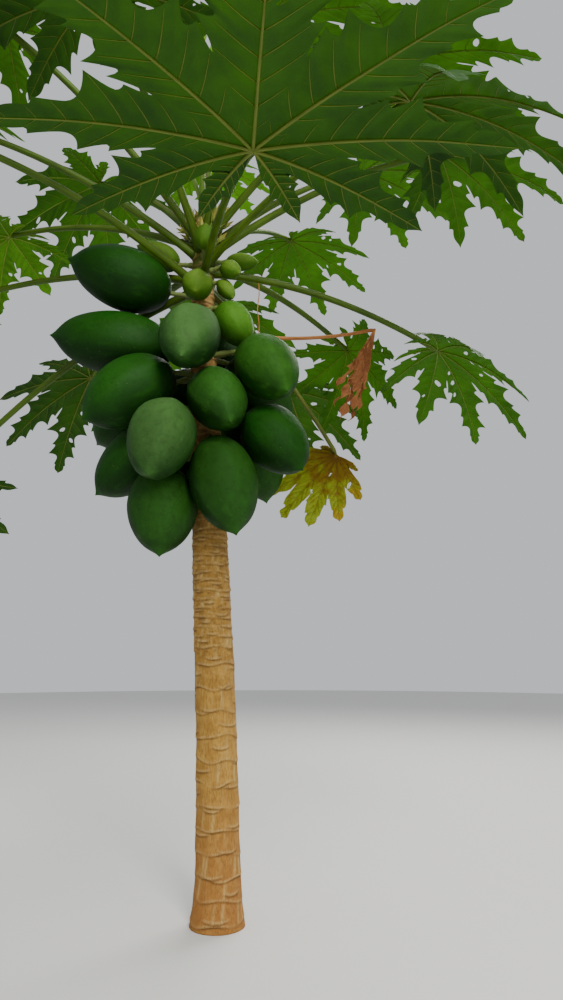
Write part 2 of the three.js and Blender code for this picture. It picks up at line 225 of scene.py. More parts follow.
def grid_quads(rows, columns, closed=False):
    """Quads of a rows x columns grid, wound from row to row; closed joins last column to first."""
    last = columns if closed else columns - 1
    row, column = np.meshgrid(np.arange(rows - 1), np.arange(last), indexing="ij")
    after = (column + 1) % columns
    corners = [row * columns + column, row * columns + after]
    corners += [(row + 1) * columns + after, (row + 1) * columns + column]
    return np.stack(corners, axis=-1).reshape(-1, 4)


def closed_bars(rings, starts, ends):
    """Bars from rings (count, steps, sides, 3), each closed by a fan of triangles at both ends."""
    count, steps, sides, _ = rings.shape
    size = steps * sides
    first = (np.arange(count) * size)[:, None, None]
    quads = (grid_quads(steps, sides, closed=True)[None] + first).reshape(-1, 4)
    side = np.arange(sides)
    after = (side + 1) % sides
    start_pole = count * size + np.arange(count)[:, None] + 0 * side
    end_pole = start_pole + count
    ring = first[:, :, 0]
    caps = [np.stack([start_pole, ring + after, ring + side], axis=-1)]
    ring = ring + size - sides
    caps.append(np.stack([end_pole, ring + side, ring + after], axis=-1))
    points = np.concatenate([rings.reshape(-1, 3), starts, ends])
    return points, [quads, np.concatenate(caps).reshape(-1, 3)]


def tubes(paths, radii, sides, reference):
    """Round bars along paths (count, steps, 3). A ring's point is the path's point plus its radius
    times (aside cos + above sin), where aside is reference x tangent and above is tangent x aside.
    Its own coordinates are (radius cos, radius sin, length along the path)."""
    tangent = unit(np.gradient(paths, axis=1))
    aside = unit(np.cross(reference, tangent))
    above = np.cross(tangent, aside)
    turn = 2 * np.pi * np.arange(sides) / sides
    cos, sin = np.cos(turn)[:, None], np.sin(turn)[:, None]
    spoke = aside[:, :, None] * cos + above[:, :, None] * sin
    rings = paths[:, :, None] + radii[:, :, None, None] * spoke
    points, faces = closed_bars(rings, paths[:, 0], paths[:, -1])

    step = np.linalg.norm(np.diff(paths, axis=1), axis=-1)
    along = np.concatenate([0 * step[:, :1], np.cumsum(step, axis=1)], axis=1)
    flat = np.stack(np.broadcast_arrays(radii[..., None] * cos[:, 0], radii[..., None] * sin[:, 0],
                                        along[..., None]), axis=-1)
    ends = np.zeros((2 * len(paths), 3))
    ends[len(paths):, 2] = along[:, -1]
    return points, faces, np.concatenate([flat.reshape(-1, 3), ends])


print("quads of a grid of 3 x 3 points:", len(grid_quads(3, 3)))

# %% One object from several parts
WELD = 0.01  # points closer than this are one, in millimetres


def weld(points, faces, own):
    """Makes points that share a place one point, and drops the faces that this folds flat."""
    key = np.round(points / WELD).astype(np.int64)
    _, keep, where = np.unique(key, axis=0, return_index=True, return_inverse=True)
    where = where.reshape(-1)
    quads = where[faces[0]]
    flat = quads == np.roll(quads, -1, axis=1)
    whole = quads[~flat.any(axis=1)]
    folded = quads[flat.sum(axis=1) == 1]
    side = flat[flat.sum(axis=1) == 1].argmax(axis=1)
    order = (side[:, None] + np.array([1, 2, 3])) % 4
    triangles = np.take_along_axis(folded, order, axis=1)
    return points[keep], [whole, triangles], own[keep]


def make_piece(name, parts, replaces=(), numbers=None):
    """Joins parts, each (points, faces, own coordinates, finish), into one smooth object in metres.
    numbers are further values at each point, by name."""
    points = np.concatenate([part[0] for part in parts])
    own = np.concatenate([part[2] for part in parts])
    faces = []
    finishes = []
    finish_numbers = []
    first = 0
    for part_points, part_faces, _, finish in parts:
        if finish not in finishes:
            finishes.append(finish)
        for group in part_faces:
            faces += (group + first).tolist()
            finish_numbers += [finishes.index(finish)] * len(group)
        first += len(part_points)
    mesh = bpy.data.meshes.new(name)
    mesh.from_pydata(points * MM, [], faces)
    mesh.polygons.foreach_set("material_index", finish_numbers)
    mesh.polygons.foreach_set("use_smooth", np.ones(len(faces), bool))
    mesh.attributes.new("own", "FLOAT_VECTOR", "POINT").data.foreach_set("vector", own.ravel())
    for key, values in (numbers or {}).items():
        mesh.attributes.new(key, "FLOAT", "POINT").data.foreach_set("value", values)
    for finish in finishes:
        mesh.materials.append(finish.material)
    piece = bpy.data.objects.new(name, mesh)
    bpy.context.scene.collection.objects.link(piece)
    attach(piece, "root")
    if replaces:
        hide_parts(*replaces)
    return piece


print("surface helpers are ready")

# %% [markdown]
# ## Floor and light
#
# In the photograph soft light falls on the fruit from above and shines through the leaves. The
# part is shown in a studio: a plain pale floor, the same pale light from all round for the
# undersides of the leaves, a soft lamp in front and to the right, a low one that reaches the
# fruit under the front leaf, and a large one behind and above that shines through the leaves.

# %% Floor, surrounding light and lamps
FLOOR_RADIUS = 9.0
FLOOR_CORNERS = 96
FLOOR_COLOUR = (0.62, 0.62, 0.6)
ROUND_LIGHT = (0.95, 0.97, 1.0)
ROUND_STRENGTH = 0.66
LAMPS = [  # name, place, what it looks at, width, power and colour
    ["front_lamp", (0.9, -2.9, 3.3), (-0.05, 0, 1.2), 1.0, 150, (1, 0.97, 0.92)],
    ["low_lamp", (1.2, -3.4, 1.9), (-0.05, 0, 0.8), 1.0, 34, (1, 0.98, 0.95)],
    ["back_lamp", (1.2, 2.6, 3.8), (-0.05, 0, 1.35), 2.6, 190, (1, 0.98, 0.94)],
]


def make_floor():
    """A disc at ground level: one face with its corners on a circle."""
    turn = np.linspace(0, 2 * np.pi, FLOOR_CORNERS, endpoint=False)
    rim = np.stack([np.cos(turn), np.sin(turn), 0 * turn], axis=1) * FLOOR_RADIUS
    mesh = bpy.data.meshes.new("floor")
    mesh.from_pydata(rim, [], [list(range(len(rim)))])
    mesh.materials.append(Finish("pale_floor", Roughness=0.9, Base_Color=FLOOR_COLOUR).material)
    floor = bpy.data.objects.new("floor", mesh)
    bpy.context.scene.collection.objects.link(floor)


def add_lamp(name, place, aim, size, power, colour):
    """A square soft lamp at a place, turned so that its face looks at the aim."""
    lamp = bpy.data.lights.new(name, "AREA")
    lamp.size = size
    lamp.energy = power
    lamp.color = colour
    holder = bpy.data.objects.new(name, lamp)
    holder.location = place
    way = np.subtract(aim, place)
    level = math.hypot(way[0], way[1])
    holder.rotation_euler = (math.atan2(level, -way[2]), 0, math.atan2(-way[0], way[1]))
    bpy.context.scene.collection.objects.link(holder)


def light_all_round(colour, strength):
    """The same pale light from every direction."""
    world = bpy.data.worlds.new("round_light")
    world.use_nodes = True
    background = world.node_tree.nodes["Background"]
    background.inputs["Color"].default_value = (*colour, 1)
    background.inputs["Strength"].default_value = strength
    bpy.context.scene.world = world


make_floor()
light_all_round(ROUND_LIGHT, ROUND_STRENGTH)
for lamp in LAMPS:
    add_lamp(*lamp)
print("lamps:", len(LAMPS))

# %% [markdown]
# ## The trunk's shape
#
# A papaya's trunk is a soft green-wood column that keeps most of its thickness up to the fruit and
# narrows under the crown. It flares a little where it meets the ground and leans to the left in an
# easy S. The middle line and the radius follow the CAD model's rule, so everything that grows on
# it meets its bark.

# %% Rules of the trunk
TRUNK_HEIGHT = 1600
FOOT_RADIUS = 45
TOP_RADIUS = 20
TAPER_POWER = 2.1
ROOT_FLARE = 13
FLARE_HEIGHT = 64
TOP_LEAN = -62


def trunk_middle(height):
    """The middle line: x is the lean times 3s^2 - 2s^3, where s is the share of the height."""
    height = np.asarray(height, float)
    share = np.clip(height / TRUNK_HEIGHT, 0, 1)
    return np.stack([TOP_LEAN * share**2 * (3 - 2 * share), 0 * height, height], axis=-1)


def trunk_radius(height):
    """A column that tapers late, plus a root flare that fades exponentially."""
    height = np.asarray(height, float)
    share = np.clip(height / TRUNK_HEIGHT, 0, 1)
    column = FOOT_RADIUS - (FOOT_RADIUS - TOP_RADIUS) * share**TAPER_POWER
    return column + ROOT_FLARE * np.exp(-height / FLARE_HEIGHT)


def outward(bearing, rise=0.0):
    """The direction away from the trunk: (sin b cos r, -cos b cos r, sin r)."""
    turn, lift = np.radians(bearing), np.radians(rise)
    level = np.cos(lift)
    return np.stack([np.sin(turn) * level, -np.cos(turn) * level, np.sin(lift) + 0 * turn], axis=-1)


print("radius at foot and top:", trunk_radius(0), trunk_radius(TRUNK_HEIGHT))

# %% [markdown]
# ## Rings and leaf scars
#
# Every leaf that has dropped leaves a mark on the bark. Low down the trunk has stretched since, so
# the marks are wavy ledges 40 to 50 mm apart that run right round it, with upright pale ridges
# between them. Above knee height they are small lumps that crowd between rings about 20 mm apart,
# and under the crown the bark is smoother. A displacement picture could do it, but formulas on the
# trunk's grid give relief that the mesh keeps.

# %% One ring and one scar
bark_chance = np.random.default_rng(7)


def chance_wave(theta, rounds):
    """A smooth chance wave round the trunk from -1 to 1: sines that go 1, 2, ... times round."""
    number = np.arange(1, rounds + 1)[:, None]
    phase = bark_chance.uniform(0, 2 * np.pi, (rounds, 1))
    wave = (np.sin(number * theta + phase) * bark_chance.uniform(0.4, 1, (rounds, 1))).sum(axis=0)
    return wave / np.abs(wave).max()


def keep_higher(values, rows, new):
    """Where two marks meet, the higher one shows."""
    values[rows] = np.maximum(values[rows], new)


def ledge_marks(maps, rows, above, strength, lift, fade):
    """A ledge along a line: from above it swells as exp(-distance / fade), and it falls away within
    3 mm under the line. Its rim is painted pale as a highlight and the crease under it painted dark as
    shade."""
    swell = np.exp(-np.clip(above, 0, None) / fade)
    drop = np.clip(1 + above / 3, 0, 1) ** 1.5
    keep_higher(maps["relief"], rows, lift * strength * np.where(above >= 0, swell, drop))
    # painted shade in the crease under the ledge, and a painted highlight on its rim
    keep_higher(maps["crease"], rows, strength * np.exp(-(((above + 2.6) / 1.9) ** 2)))
    keep_higher(maps["rim"], rows, strength * np.exp(-(((above - 1.5) / 2.4) ** 2)))


def add_ring(maps, theta, heights, height, gap, lift):
    """A wavy ledge all round the trunk that fades out here and there."""
    rows = np.flatnonzero(np.abs(heights - height) < 1.3 * gap)
    line = height + 0.14 * gap * chance_wave(theta, 4)
    strength = np.clip(0.62 + 0.55 * chance_wave(theta, 5), 0.06, 1)
    above = heights[rows][:, None] - line
    ledge_marks(maps, rows, above, strength, lift, 0.3 * gap)


def add_scar(maps, theta, heights, height, bearing, half_width, tall, lift):
    """A lump sqrt(1 - a^2) wide that swells down to its own short ledge."""
    rows = np.flatnonzero(np.abs(heights - height) < 2 * tall)
    around = np.angle(np.exp(1j * (theta - math.radians(bearing))))
    aside = around * trunk_radius(height) / half_width
    inside = np.sqrt(np.clip(1 - aside**2, 0, 1))
    line = height + 0.22 * tall * aside**2
    above = heights[rows][:, None] - line
    ledge_marks(maps, rows, above, inside * np.clip(1.4 - above / tall, 0, 1), lift, 0.75 * tall)


print("a ring is a wavy ledge, a scar a lump over a short one")


# %% Ridges and unevenness
def add_uprights(maps, theta, heights, height, gap, count):
    """Pale ridges that stand between one ring and the next."""
    rows = np.flatnonzero((heights > height) & (heights < height + gap))
    up = (heights[rows][:, None] - height) / gap
    for place in bark_chance.uniform(0, 2 * np.pi, count):
        around = np.angle(np.exp(1j * (theta - place - 0.1 * (up - 0.5))))
        ridge = np.exp(-((around * trunk_radius(height) / 3.2) ** 2)) * np.sin(np.pi * up) ** 0.5
        keep_higher(maps["ridge"], rows, ridge * bark_chance.uniform(0.4, 1))


def ripple(theta, heights, rounds, tall, seed):
    """A gentle unevenness: waves that go whole times round the trunk, with chance phases."""
    chance = np.random.default_rng(seed)
    total = 0
    for number in range(1, rounds + 1):
        phase = chance.uniform(0, 2 * np.pi, 2)
        wave = np.sin(heights / tall[number % len(tall)] + phase[0])
        total = total + np.sin(number * theta + phase[1] + 1.6 * wave) / rounds
    return total


print("ridges stand between the rings")

# %% Mesh of the trunk
GOLDEN_ANGLE = 137.5
RING_ZONES = [0, 470, 570, 800, 1000, 1600]
RING_STEPS = [42, 50, 20, 19, 26, 22]
SCAR_STEPS = [16, 15, 5, 5.5, 9, 8]
FIRST_RING = 14
FIRST_SCAR = 20
LAST_MARK_BELOW_TOP = 25
RING_LIFT = (1.7, 2.7)
UPRIGHTS = 5  # ridges over each ring
RIDGE_LIFT = 1.1
BARK_INSET = 0.8  # the relief stands on a column this much thinner than the solid


def stepped_heights(first, steps):
    """Heights up the trunk whose step changes with the height, as given for the zones."""
    heights = [float(first)]
    while heights[-1] < TRUNK_HEIGHT - LAST_MARK_BELOW_TOP:
        heights.append(heights[-1] + float(np.interp(heights[-1], RING_ZONES, steps)))
    return np.array(heights)


def mark_bark(maps, theta, heights):
    """Rings with ridges over them from the foot up, and then scars by the golden angle."""
    for height in stepped_heights(FIRST_RING, RING_STEPS):
        gap = float(np.interp(height, RING_ZONES, RING_STEPS))
        add_ring(maps, theta, heights, height, gap, bark_chance.uniform(*RING_LIFT))
        add_uprights(maps, theta, heights, height, gap, UPRIGHTS)
    for number, height in enumerate(stepped_heights(FIRST_SCAR, SCAR_STEPS)):
        low = float(np.interp(height, [460, 600], [1, 0]))
        bearing = number * GOLDEN_ANGLE + bark_chance.uniform(-14, 14)
        half_width = (15 + 12 * low) * bark_chance.uniform(0.75, 1.2)
        tall = (10 + 12 * low) * bark_chance.uniform(0.8, 1.2)
        lift = (2.9 - 2.1 * low) * bark_chance.uniform(0.5, 1.15)
        add_scar(maps, theta, heights, height, bearing, half_width, tall, lift)


def make_trunk(rows, sides):
    """A grid round the middle line: radius plus relief at each height and angle."""
    heights = np.linspace(0, TRUNK_HEIGHT, rows)
    theta = 2 * np.pi * np.arange(sides) / sides
    maps = {name: np.zeros((rows, sides)) for name in ("relief", "crease", "rim", "ridge")}
    mark_bark(maps, theta, heights)
    z, turn = heights[:, None], theta[None, :]
    uneven = 1.5 * ripple(turn, z, 6, (41, 23, 67), 3) + 0.5 * ripple(turn, z, 24, (9, 15), 5)
    relief = maps["relief"] + RIDGE_LIFT * maps["ridge"] + uneven
    radius = trunk_radius(z) - BARK_INSET + relief * np.clip(z / 12, 0, 1)
    spoke = np.stack([np.sin(turn), -np.cos(turn), 0 * turn], axis=-1)
    rings = trunk_middle(z) + radius[..., None] * spoke
    rings[..., 2] = z
    ends = trunk_middle(np.array([0.0, TRUNK_HEIGHT]))
    points, faces = closed_bars(rings[None], ends[:1], ends[1:])
    own = points - trunk_middle(points[:, 2]) * [1, 1, 0]
    numbers = {name: np.append(values.ravel(), [0, 0]) for name, values in maps.items()}
    return points, faces, own, numbers


print("rings on the trunk:", len(stepped_heights(FIRST_RING, RING_STEPS)))

# %% [markdown]
# ## The bark's finish
#
# The bark is a golden brown, redder at the foot and greener among the leaf stalks, with fine
# cracks that run up the trunk. On the ledges light is painted: a pale highlight on each rim and
# dark shade in the crease under it. The colour follows the relief by values that the mesh carries
# at each point, and stretched noises give the cracks and the mottle.


# %% Bark
def finish_bark():
    """Layers of colour from the base up: streaks, height, blotches, and then the relief's marks,
    with a painted highlight on the ledges' rims and painted shade in the creases under them.
    """
    bark = Finish("bark", Specular_IOR_Level=0.2)
    place = bark.own()
    height = bark.part(place, 2)
    mottle = bark.noise(place, 0.045, 5, 0.62)
    blotch = bark.noise(bark.own((1, 1, 1.6)), 0.075, 4, 0.6)
    streaks = bark.noise(bark.own((1, 1, 0.12)), 0.16, 6, 0.65)
    cracks = bark.noise(bark.own((1, 1, 0.22)), 0.42, 5, 0.6).ramp(0.34, 0.5)
    speckle = bark.noise(place, 0.55, 3, 0.6)
    colour = bark.mix(mottle.ramp(0.35, 0.65), (0.44, 0.25, 0.052), (0.33, 0.172, 0.034))
    colour = bark.mix(streaks.ramp(0.5, 0.78) * 0.5, colour, (0.55, 0.36, 0.125))
    high = height.ramp(620, 1000)
    colour = bark.mix(high * 0.5, colour, (0.17, 0.11, 0.042))
    green = height.ramp(1370, 1440)
    colour = bark.mix(green * 0.9, colour, (0.085, 0.135, 0.018))
    foot = 1 - height.ramp(40, 330)
    colour = bark.mix(foot * 0.6, colour, (0.30, 0.11, 0.028))
    scar_zone = height.ramp(420, 600) * (1 - high * 0.6)
    colour = bark.mix(scar_zone * blotch.ramp(0.55, 0.68) * 0.65, colour, (0.56, 0.40, 0.17))
    colour = bark.mix(scar_zone * blotch.ramp(0.47, 0.3) * 0.75, colour, (0.16, 0.08, 0.026))
    colour = bark.mix(bark.value("ridge") * 0.7, colour, (0.58, 0.42, 0.15))
    # painted highlight on the rims of the ledges
    colour = bark.mix(bark.value("rim") * speckle.ramp(0.25, 0.6) * 0.6, colour, (0.60, 0.42, 0.17))
    colour = bark.mix((1 - cracks) * 0.28, colour, (0.19, 0.09, 0.026))
    # painted shade in the creases under the ledges
    colour = bark.mix(bark.value("crease") * 0.8, colour, (0.09, 0.042, 0.014))
    bark.surface(colour, 0.72 + 0.2 * mottle)
    bark.bump(cracks * 0.5 + speckle * 1.1 + streaks * 0.6 + blotch * scar_zone * 3, 1.4, 1.0)
    return bark


points, faces, own, numbers = make_trunk(rows=740, sides=120)
make_piece("trunk_bark", [(points, faces, own, finish_bark())], ["trunk"], numbers)
print("trunk:", len(points), "points")

# %% [markdown]
# ## Stalks
#
# A papaya leaf hangs on a long, round, hollow stalk that is thickest where it clasps the trunk
# and swells again into a small pad under the blade. It bows upwards in the middle. The path is
# the CAD model's quadratic curve, and rings are carried along it with the same taper.

# %% Stalk along a curve
STALK_SIDES = 14
STALK_STEPS = 40
CLASP_SWELL = 0.35
CLASP_FADE = 16
PAD_SWELL = 0.3
PAD_FADE = 14
UP = np.array([0, 0, 1.0])


def quadratic(start, middle, end, share):
    """A quadratic curve: (1-t)^2 start + 2t(1-t) middle + t^2 end."""
    t = np.asarray(share)[:, None]
    return (1 - t) ** 2 * start + 2 * t * (1 - t) * middle + t**2 * end


def stalk(start, hub, bow, radii, finish):
    """A stalk from start to hub whose middle is lifted by bow. Its radius is end + (base - end)
    (1-t)^2, swollen at the trunk and under the blade, and closed by a round end."""
    t = np.linspace(0, 1, STALK_STEPS)
    middle = (start + hub) / 2 + np.array([0, 0, 2 * bow])
    path = quadratic(start, middle, hub, t)
    length = np.linalg.norm(hub - start)
    base, end = radii
    radius = end + (base - end) * (1 - t) ** 2
    clasp = CLASP_SWELL * np.exp(-t * length / CLASP_FADE)
    pad = PAD_SWELL * np.exp(-(1 - t) * length / PAD_FADE)
    radius = radius * (1 + clasp + pad)
    over = np.clip((t - 1) * length / radius[-1] + 1, 0, 1)
    radius = radius * np.sqrt(np.clip(1 - over**2, 0.02, 1))
    points, faces, own = tubes(path[None], radius[None], STALK_SIDES, UP)
    return points, faces, own, finish


def stalk_ends(foot, bearing, rise, length):
    """Start inside the trunk, half way to its bark, and hub at the stalk's length outside it."""
    radius = trunk_radius(foot)
    start = trunk_middle(foot) + outward(bearing) * radius / 2
    hub = trunk_middle(foot) + outward(bearing) * radius + outward(bearing, rise) * length
    return start, hub


print("stalk rules are ready")

# %% [markdown]
# ## Leaf blades
#
# The blade is palmate: nine lobes spread from the hub, each cut again into side lobes, with a
# notch at the stalk. Half a lobe is a grid. Its rows start on the rib and run aslant to the margin
# like the side veins, so the side lobes sweep forward by themselves; its columns go from the rib
# out to the margin. Near the hub the rows of two lobes end on the line between them and meet.
# The plan, the droop and the fold are the CAD model's, with a quilted surface between the veins.

# %% Rules of the blade
LOBE_BEARINGS = [0, 38, 74, 110, 146]
LOBE_REACHES = [1, 0.96, 0.86, 0.68, 0.34]
# Side lobes and notches by turns, as (ahead along the rib, aside from it) in shares of its length.
TOOTHED = [(0.52, 0.175), (0.535, 0.135), (0.63, 0.205), (0.675, 0.085), (0.755, 0.115),
           (0.765, 0.088), (0.85, 0.13), (0.875, 0.045), (0.93, 0.06), (0.935, 0.042)]
PLAIN = [(0.53, 0.165), (0.545, 0.13), (0.66, 0.19), (0.72, 0.08), (0.83, 0.095), (0.845, 0.058)]
SMALL = [(0.5, 0.15), (0.515, 0.125), (0.66, 0.19), (0.71, 0.1)]
OLD = [(0.68, 0.215), (0.71, 0.19), (0.84, 0.155), (0.87, 0.11)]
LEAF_EDGES = [TOOTHED, TOOTHED, PLAIN, PLAIN, SMALL]  # from the middle lobe to the last
OLD_EDGES = [OLD] * 5
YOUNG_EDGES = [PLAIN, SMALL, SMALL]
WEB_REACH = 0.42
OLD_WEB_REACH = 0.6
OPEN_HALF_ANGLE = 20
OPEN_REACH = 0.13
LOBE_FOLD = 0.18
LATE_SAG = 1.5
VEIN_SLANT = math.radians(50)
VEIN_STEP = 0.1
INNER_ROWS = 10
OUTER_ROWS = 44
COLUMNS = 7


def leaf_axes(bearing, pitch, roll, turn=0.0):
    """A blade's three directions: along it, to its left, and its normal. The left one is turned
    about the first by the roll, and then both are turned in their own plane."""
    along = outward(bearing, -pitch)
    level = unit(np.cross(UP, outward(bearing)))
    roll, turn = math.radians(roll), math.radians(turn)
    left = level * math.cos(roll) + np.cross(along, level) * math.sin(roll)
    ahead = along * math.cos(turn) + left * math.sin(turn)
    left = left * math.cos(turn) - along * math.sin(turn)
    return ahead, left, np.cross(ahead, left)


print("rows in half a lobe:", INNER_ROWS + OUTER_ROWS)


# %% The margin of half a lobe
def slanted(edge):
    """An edge's points as (share of the rib where the row starts, length of the row), both as
    shares of the lobe's length: start = ahead - aside / tan slant, length = aside / sin slant."""
    ahead, aside = np.array(edge).T
    return ahead - aside / math.tan(VEIN_SLANT), aside / math.sin(VEIN_SLANT)


def margin(share, web, edge, chance):
    """Length of the row that starts at a share of the rib. From the web the margin swings out to
    a pointed side lobe and back into a round notch, one pair after another, and the last stretch
    bulges a little on its way to the tip."""
    start, length = slanted(edge)
    length = length * chance.uniform(0.9, 1.06, len(edge))
    keys = np.concatenate([[web[0]], start, [1.0]])
    widths = np.concatenate([[web[1]], length, [0.0]])
    row = np.interp(share, keys, widths)
    last = len(keys) - 2
    for number in range(last + 1):
        low, high = keys[number], keys[number + 1]
        t = np.clip((share - low) / (high - low), 0, 1)
        if number == last:
            ease = t - 0.55 * np.sin(np.pi * t) * (1 - t)
        elif number % 2 == 0:
            ease = t**1.6
        else:
            ease = 1 - (1 - t) ** 1.8
        here = (share >= low) & (share <= high)
        row = np.where(here, widths[number] + (widths[number + 1] - widths[number]) * ease, row)
    return row


def along_rows(start, reach, out, side, length):
    """Plan places on slanted rows that bend forward a little, out being the share of the way from
    rib to margin: ahead = start + reach cos(slant) out^1.2, left = reach sin(slant) out."""
    ahead = (start + reach * math.cos(VEIN_SLANT) * out**1.2) * length
    left = side * reach * math.sin(VEIN_SLANT) * out * length
    return ahead, left


print("side lobes and notches on half a lobe:", len(TOOTHED))


# %% A blade in its place
class Blade:
    """One leaf blade in its place: its lobes, the rows of each half lobe, and its droop and fold."""

    def __init__(self, edges, reach, droop, hub, axes, seed, gather=1.0, web=WEB_REACH, crumple=0.0):
        self.edges = edges
        self.reach = reach
        self.droop = droop
        self.gather = gather
        self.web = web
        self.hub = hub
        self.axes = axes
        self.crumple = crumple
        self.chance = np.random.default_rng(seed)
        last = len(edges) - 1
        self.places = np.arange(-last, last + 1)
        self.bearings = np.array([math.copysign(LOBE_BEARINGS[abs(p)], p) for p in self.places])
        self.lengths = np.array([LOBE_REACHES[abs(p)] * reach for p in self.places])
        self.phase = self.chance.uniform(0, 2 * np.pi, 4)
        self.halves = [self.rows_of(*half) for half in self.half_lobes()]

    def half_lobes(self):
        """Each half lobe as (rib's bearing, side, length, web, edge): the web is where the row
        that reaches the notch between two lobes starts, and how long it is."""
        sin_slant = math.sin(VEIN_SLANT)
        for number, (rib, length) in enumerate(zip(self.bearings, self.lengths)):
            for side in (-1, 1):
                other = number + side
                if 0 <= other < len(self.bearings):
                    half = math.radians(abs(self.bearings[other] - rib) / 2)
                    reach = self.web * (length + self.lengths[other]) / 2
                else:
                    half = math.radians(OPEN_HALF_ANGLE)
                    reach = OPEN_REACH * self.reach
                web = (reach * math.sin(VEIN_SLANT - half) / sin_slant / length,
                       reach * math.sin(half) / sin_slant / length)
                yield rib, side, length, web, self.edges[abs(self.places[number])]

    def rows_of(self, rib, side, length, web, edge):
        """A half lobe as (rib's bearing, side, length, where each row starts, how long it is)."""
        inner = np.linspace(0, 1, INNER_ROWS, endpoint=False)
        outer = web[0] + (1 - web[0]) * np.linspace(0, 1, OUTER_ROWS)
        outer = np.unique(np.concatenate([outer, slanted(edge)[0]]))
        share = np.concatenate([inner * web[0], outer])
        row = margin(share, web, edge, self.chance)
        row[:INNER_ROWS] = inner * web[1]
        row[-1] = 0
        return rib, side, length, share, row

    def lift(self, radius, bearing, rib):
        """Height over the hub's plane: the fold up from the rib, less the sag r^2 droop / length,
        where the length and the sag go smoothly from one lobe to the next."""
        length = np.interp(bearing, self.bearings, self.lengths)
        sag = self.droop * radius**2 / length * (1 + LATE_SAG * (bearing / 180) ** 2)
        fold = LOBE_FOLD * radius * np.sin(np.abs(np.radians(bearing - rib))) * self.gather
        wave = np.sin(radius / self.reach * 9 + self.phase[0])
        wave = wave * np.sin(np.radians(bearing) * 5 + self.phase[1])
        far = (radius / self.reach) ** 2
        crease = np.sin(radius / self.reach * 23 + self.phase[2]) * np.sin(np.radians(bearing) * 13)
        return fold - sag + self.reach * far * (0.012 * wave + self.crumple * crease)

    def place(self, ahead, left, rib, extra=0.0):
        """Plan coordinates in a lobe's own frame, carried to their place in space. extra is a
        further lift."""
        radius = np.hypot(ahead, left)
        bearing = rib + np.degrees(np.arctan2(left, ahead))
        turn = np.radians(bearing) * self.gather
        lift = self.lift(radius, bearing, rib) + extra
        x, y = radius * np.cos(turn), radius * np.sin(turn)
        along, across, normal = self.axes
        point = self.hub + x[..., None] * along + y[..., None] * across + lift[..., None] * normal
        return point, np.stack([x, y, np.abs(left)], axis=-1)


print("a blade with its lobes' bearings:", LOBE_BEARINGS)

# %% [markdown]
# ## Small holes
#
# Most blades have some small holes between the side veins, as in the photograph. They could be
# painted with a see-through mask, but then the mesh would stay whole. Here the faces inside an
# ellipse are taken out, and the points round it are moved to its edge, so that the hole is round.

# %% Holes between the veins
HOLE_LENGTH = 11  # at most, from the middle, in millimetres


def pick_holes(blade, count):
    """Places for holes between two side veins: an ellipse that lies along them, as (middle,
    half length, half width, turn) on the blade's plan."""
    holes = []
    for _ in range(count):
        rib, side, length, share, row = blade.halves[blade.chance.integers(len(blade.halves))]
        start = VEIN_STEP * (blade.chance.integers(2, 7) + 0.5)
        reach = np.interp(start, share, row) * length
        out = reach * blade.chance.uniform(0.35, 0.65)
        ahead, left = start * length + out * math.cos(VEIN_SLANT), side * out * math.sin(VEIN_SLANT)
        turn = math.radians(rib)
        middle = np.array([ahead * math.cos(turn) - left * math.sin(turn),
                           ahead * math.sin(turn) + left * math.cos(turn)])
        half_length = min(reach * 0.25, HOLE_LENGTH) * blade.chance.uniform(0.5, 1.0)
        half_width = min(VEIN_STEP * length * 0.2, half_length * 0.5)
        holes.append((middle, half_length, half_width, turn + side * VEIN_SLANT))
    return holes


def cut_hole(blade, points, faces, own, hole):
    """Takes out the faces whose middle is inside the hole's ellipse, and moves the points round
    them straight out or in to its edge."""
    middle, half_length, half_width, turn = hole
    away = own[:, :2] - middle
    cos, sin = math.cos(turn), math.sin(turn)
    local = np.stack([(away[:, 0] * cos + away[:, 1] * sin) / half_length,
                      (away[:, 1] * cos - away[:, 0] * sin) / half_width], axis=1)
    inside = [np.linalg.norm(local[group].mean(axis=1), axis=1) < 1 for group in faces]
    gone = np.concatenate([group[cut].ravel() for group, cut in zip(faces, inside)])
    kept = [group[~cut] for group, cut in zip(faces, inside)]
    border = np.intersect1d(gone, np.concatenate([group.ravel() for group in kept]))
    if len(border):
        shift = away[border] * (1 / np.linalg.norm(local[border], axis=1) - 1)[:, None]
        points[border] += shift @ np.stack(blade.axes[:2])
        own[border, :2] += shift
    return kept


print("longest hole:", 2 * HOLE_LENGTH, "mm")

# %% Lamina, ribs and side veins
PUCKER = 0.011  # how high the lamina swells between two veins, of the lobe's length
RIB_STEPS = 26
RIB_SIDES = 7
VEIN_STEPS = 6
VEIN_SIDES = 4
NEAR_TIP = 0.985  # where a rib ends
NEAR_MARGIN = 0.93  # where a side vein ends


def lamina(blade, finish, holes):
    """The sheet of the leaf: rows aslant from rib to margin, puckered up between the side veins,
    with some small holes eaten into it."""
    points, quads, own = [], [], []
    first = 0
    out = np.linspace(0, 1, COLUMNS)[None, :]
    for rib, side, length, share, row in blade.halves:
        start, row_length = share[:, None], row[:, None]
        ahead, left = along_rows(start, row_length, out, side, length)
        between = np.sin(np.pi * start / VEIN_STEP) ** 2
        pucker = PUCKER * length * between * np.sin(np.pi * out) ** 0.8
        grid, flat = blade.place(ahead, left, rib, pucker * np.clip(row_length / 0.15, 0, 1))
        corners = grid_quads(*grid.shape[:2])
        quads.append((corners if side < 0 else corners[:, ::-1]) + first)
        points.append(grid.reshape(-1, 3))
        own.append(flat.reshape(-1, 3))
        first += grid.shape[0] * grid.shape[1]
    points, faces, own = weld(np.concatenate(points), [np.concatenate(quads)], np.concatenate(own))
    for hole in pick_holes(blade, holes):
        faces = cut_hole(blade, points, faces, own, hole)
    used, flat = np.unique(np.concatenate([group.ravel() for group in faces]), return_inverse=True)
    ends = np.cumsum([group.size for group in faces])[:-1]
    faces = [part.reshape(-1, group.shape[1]) for part, group in zip(np.split(flat, ends), faces)]
    return points[used], faces, own[used], finish


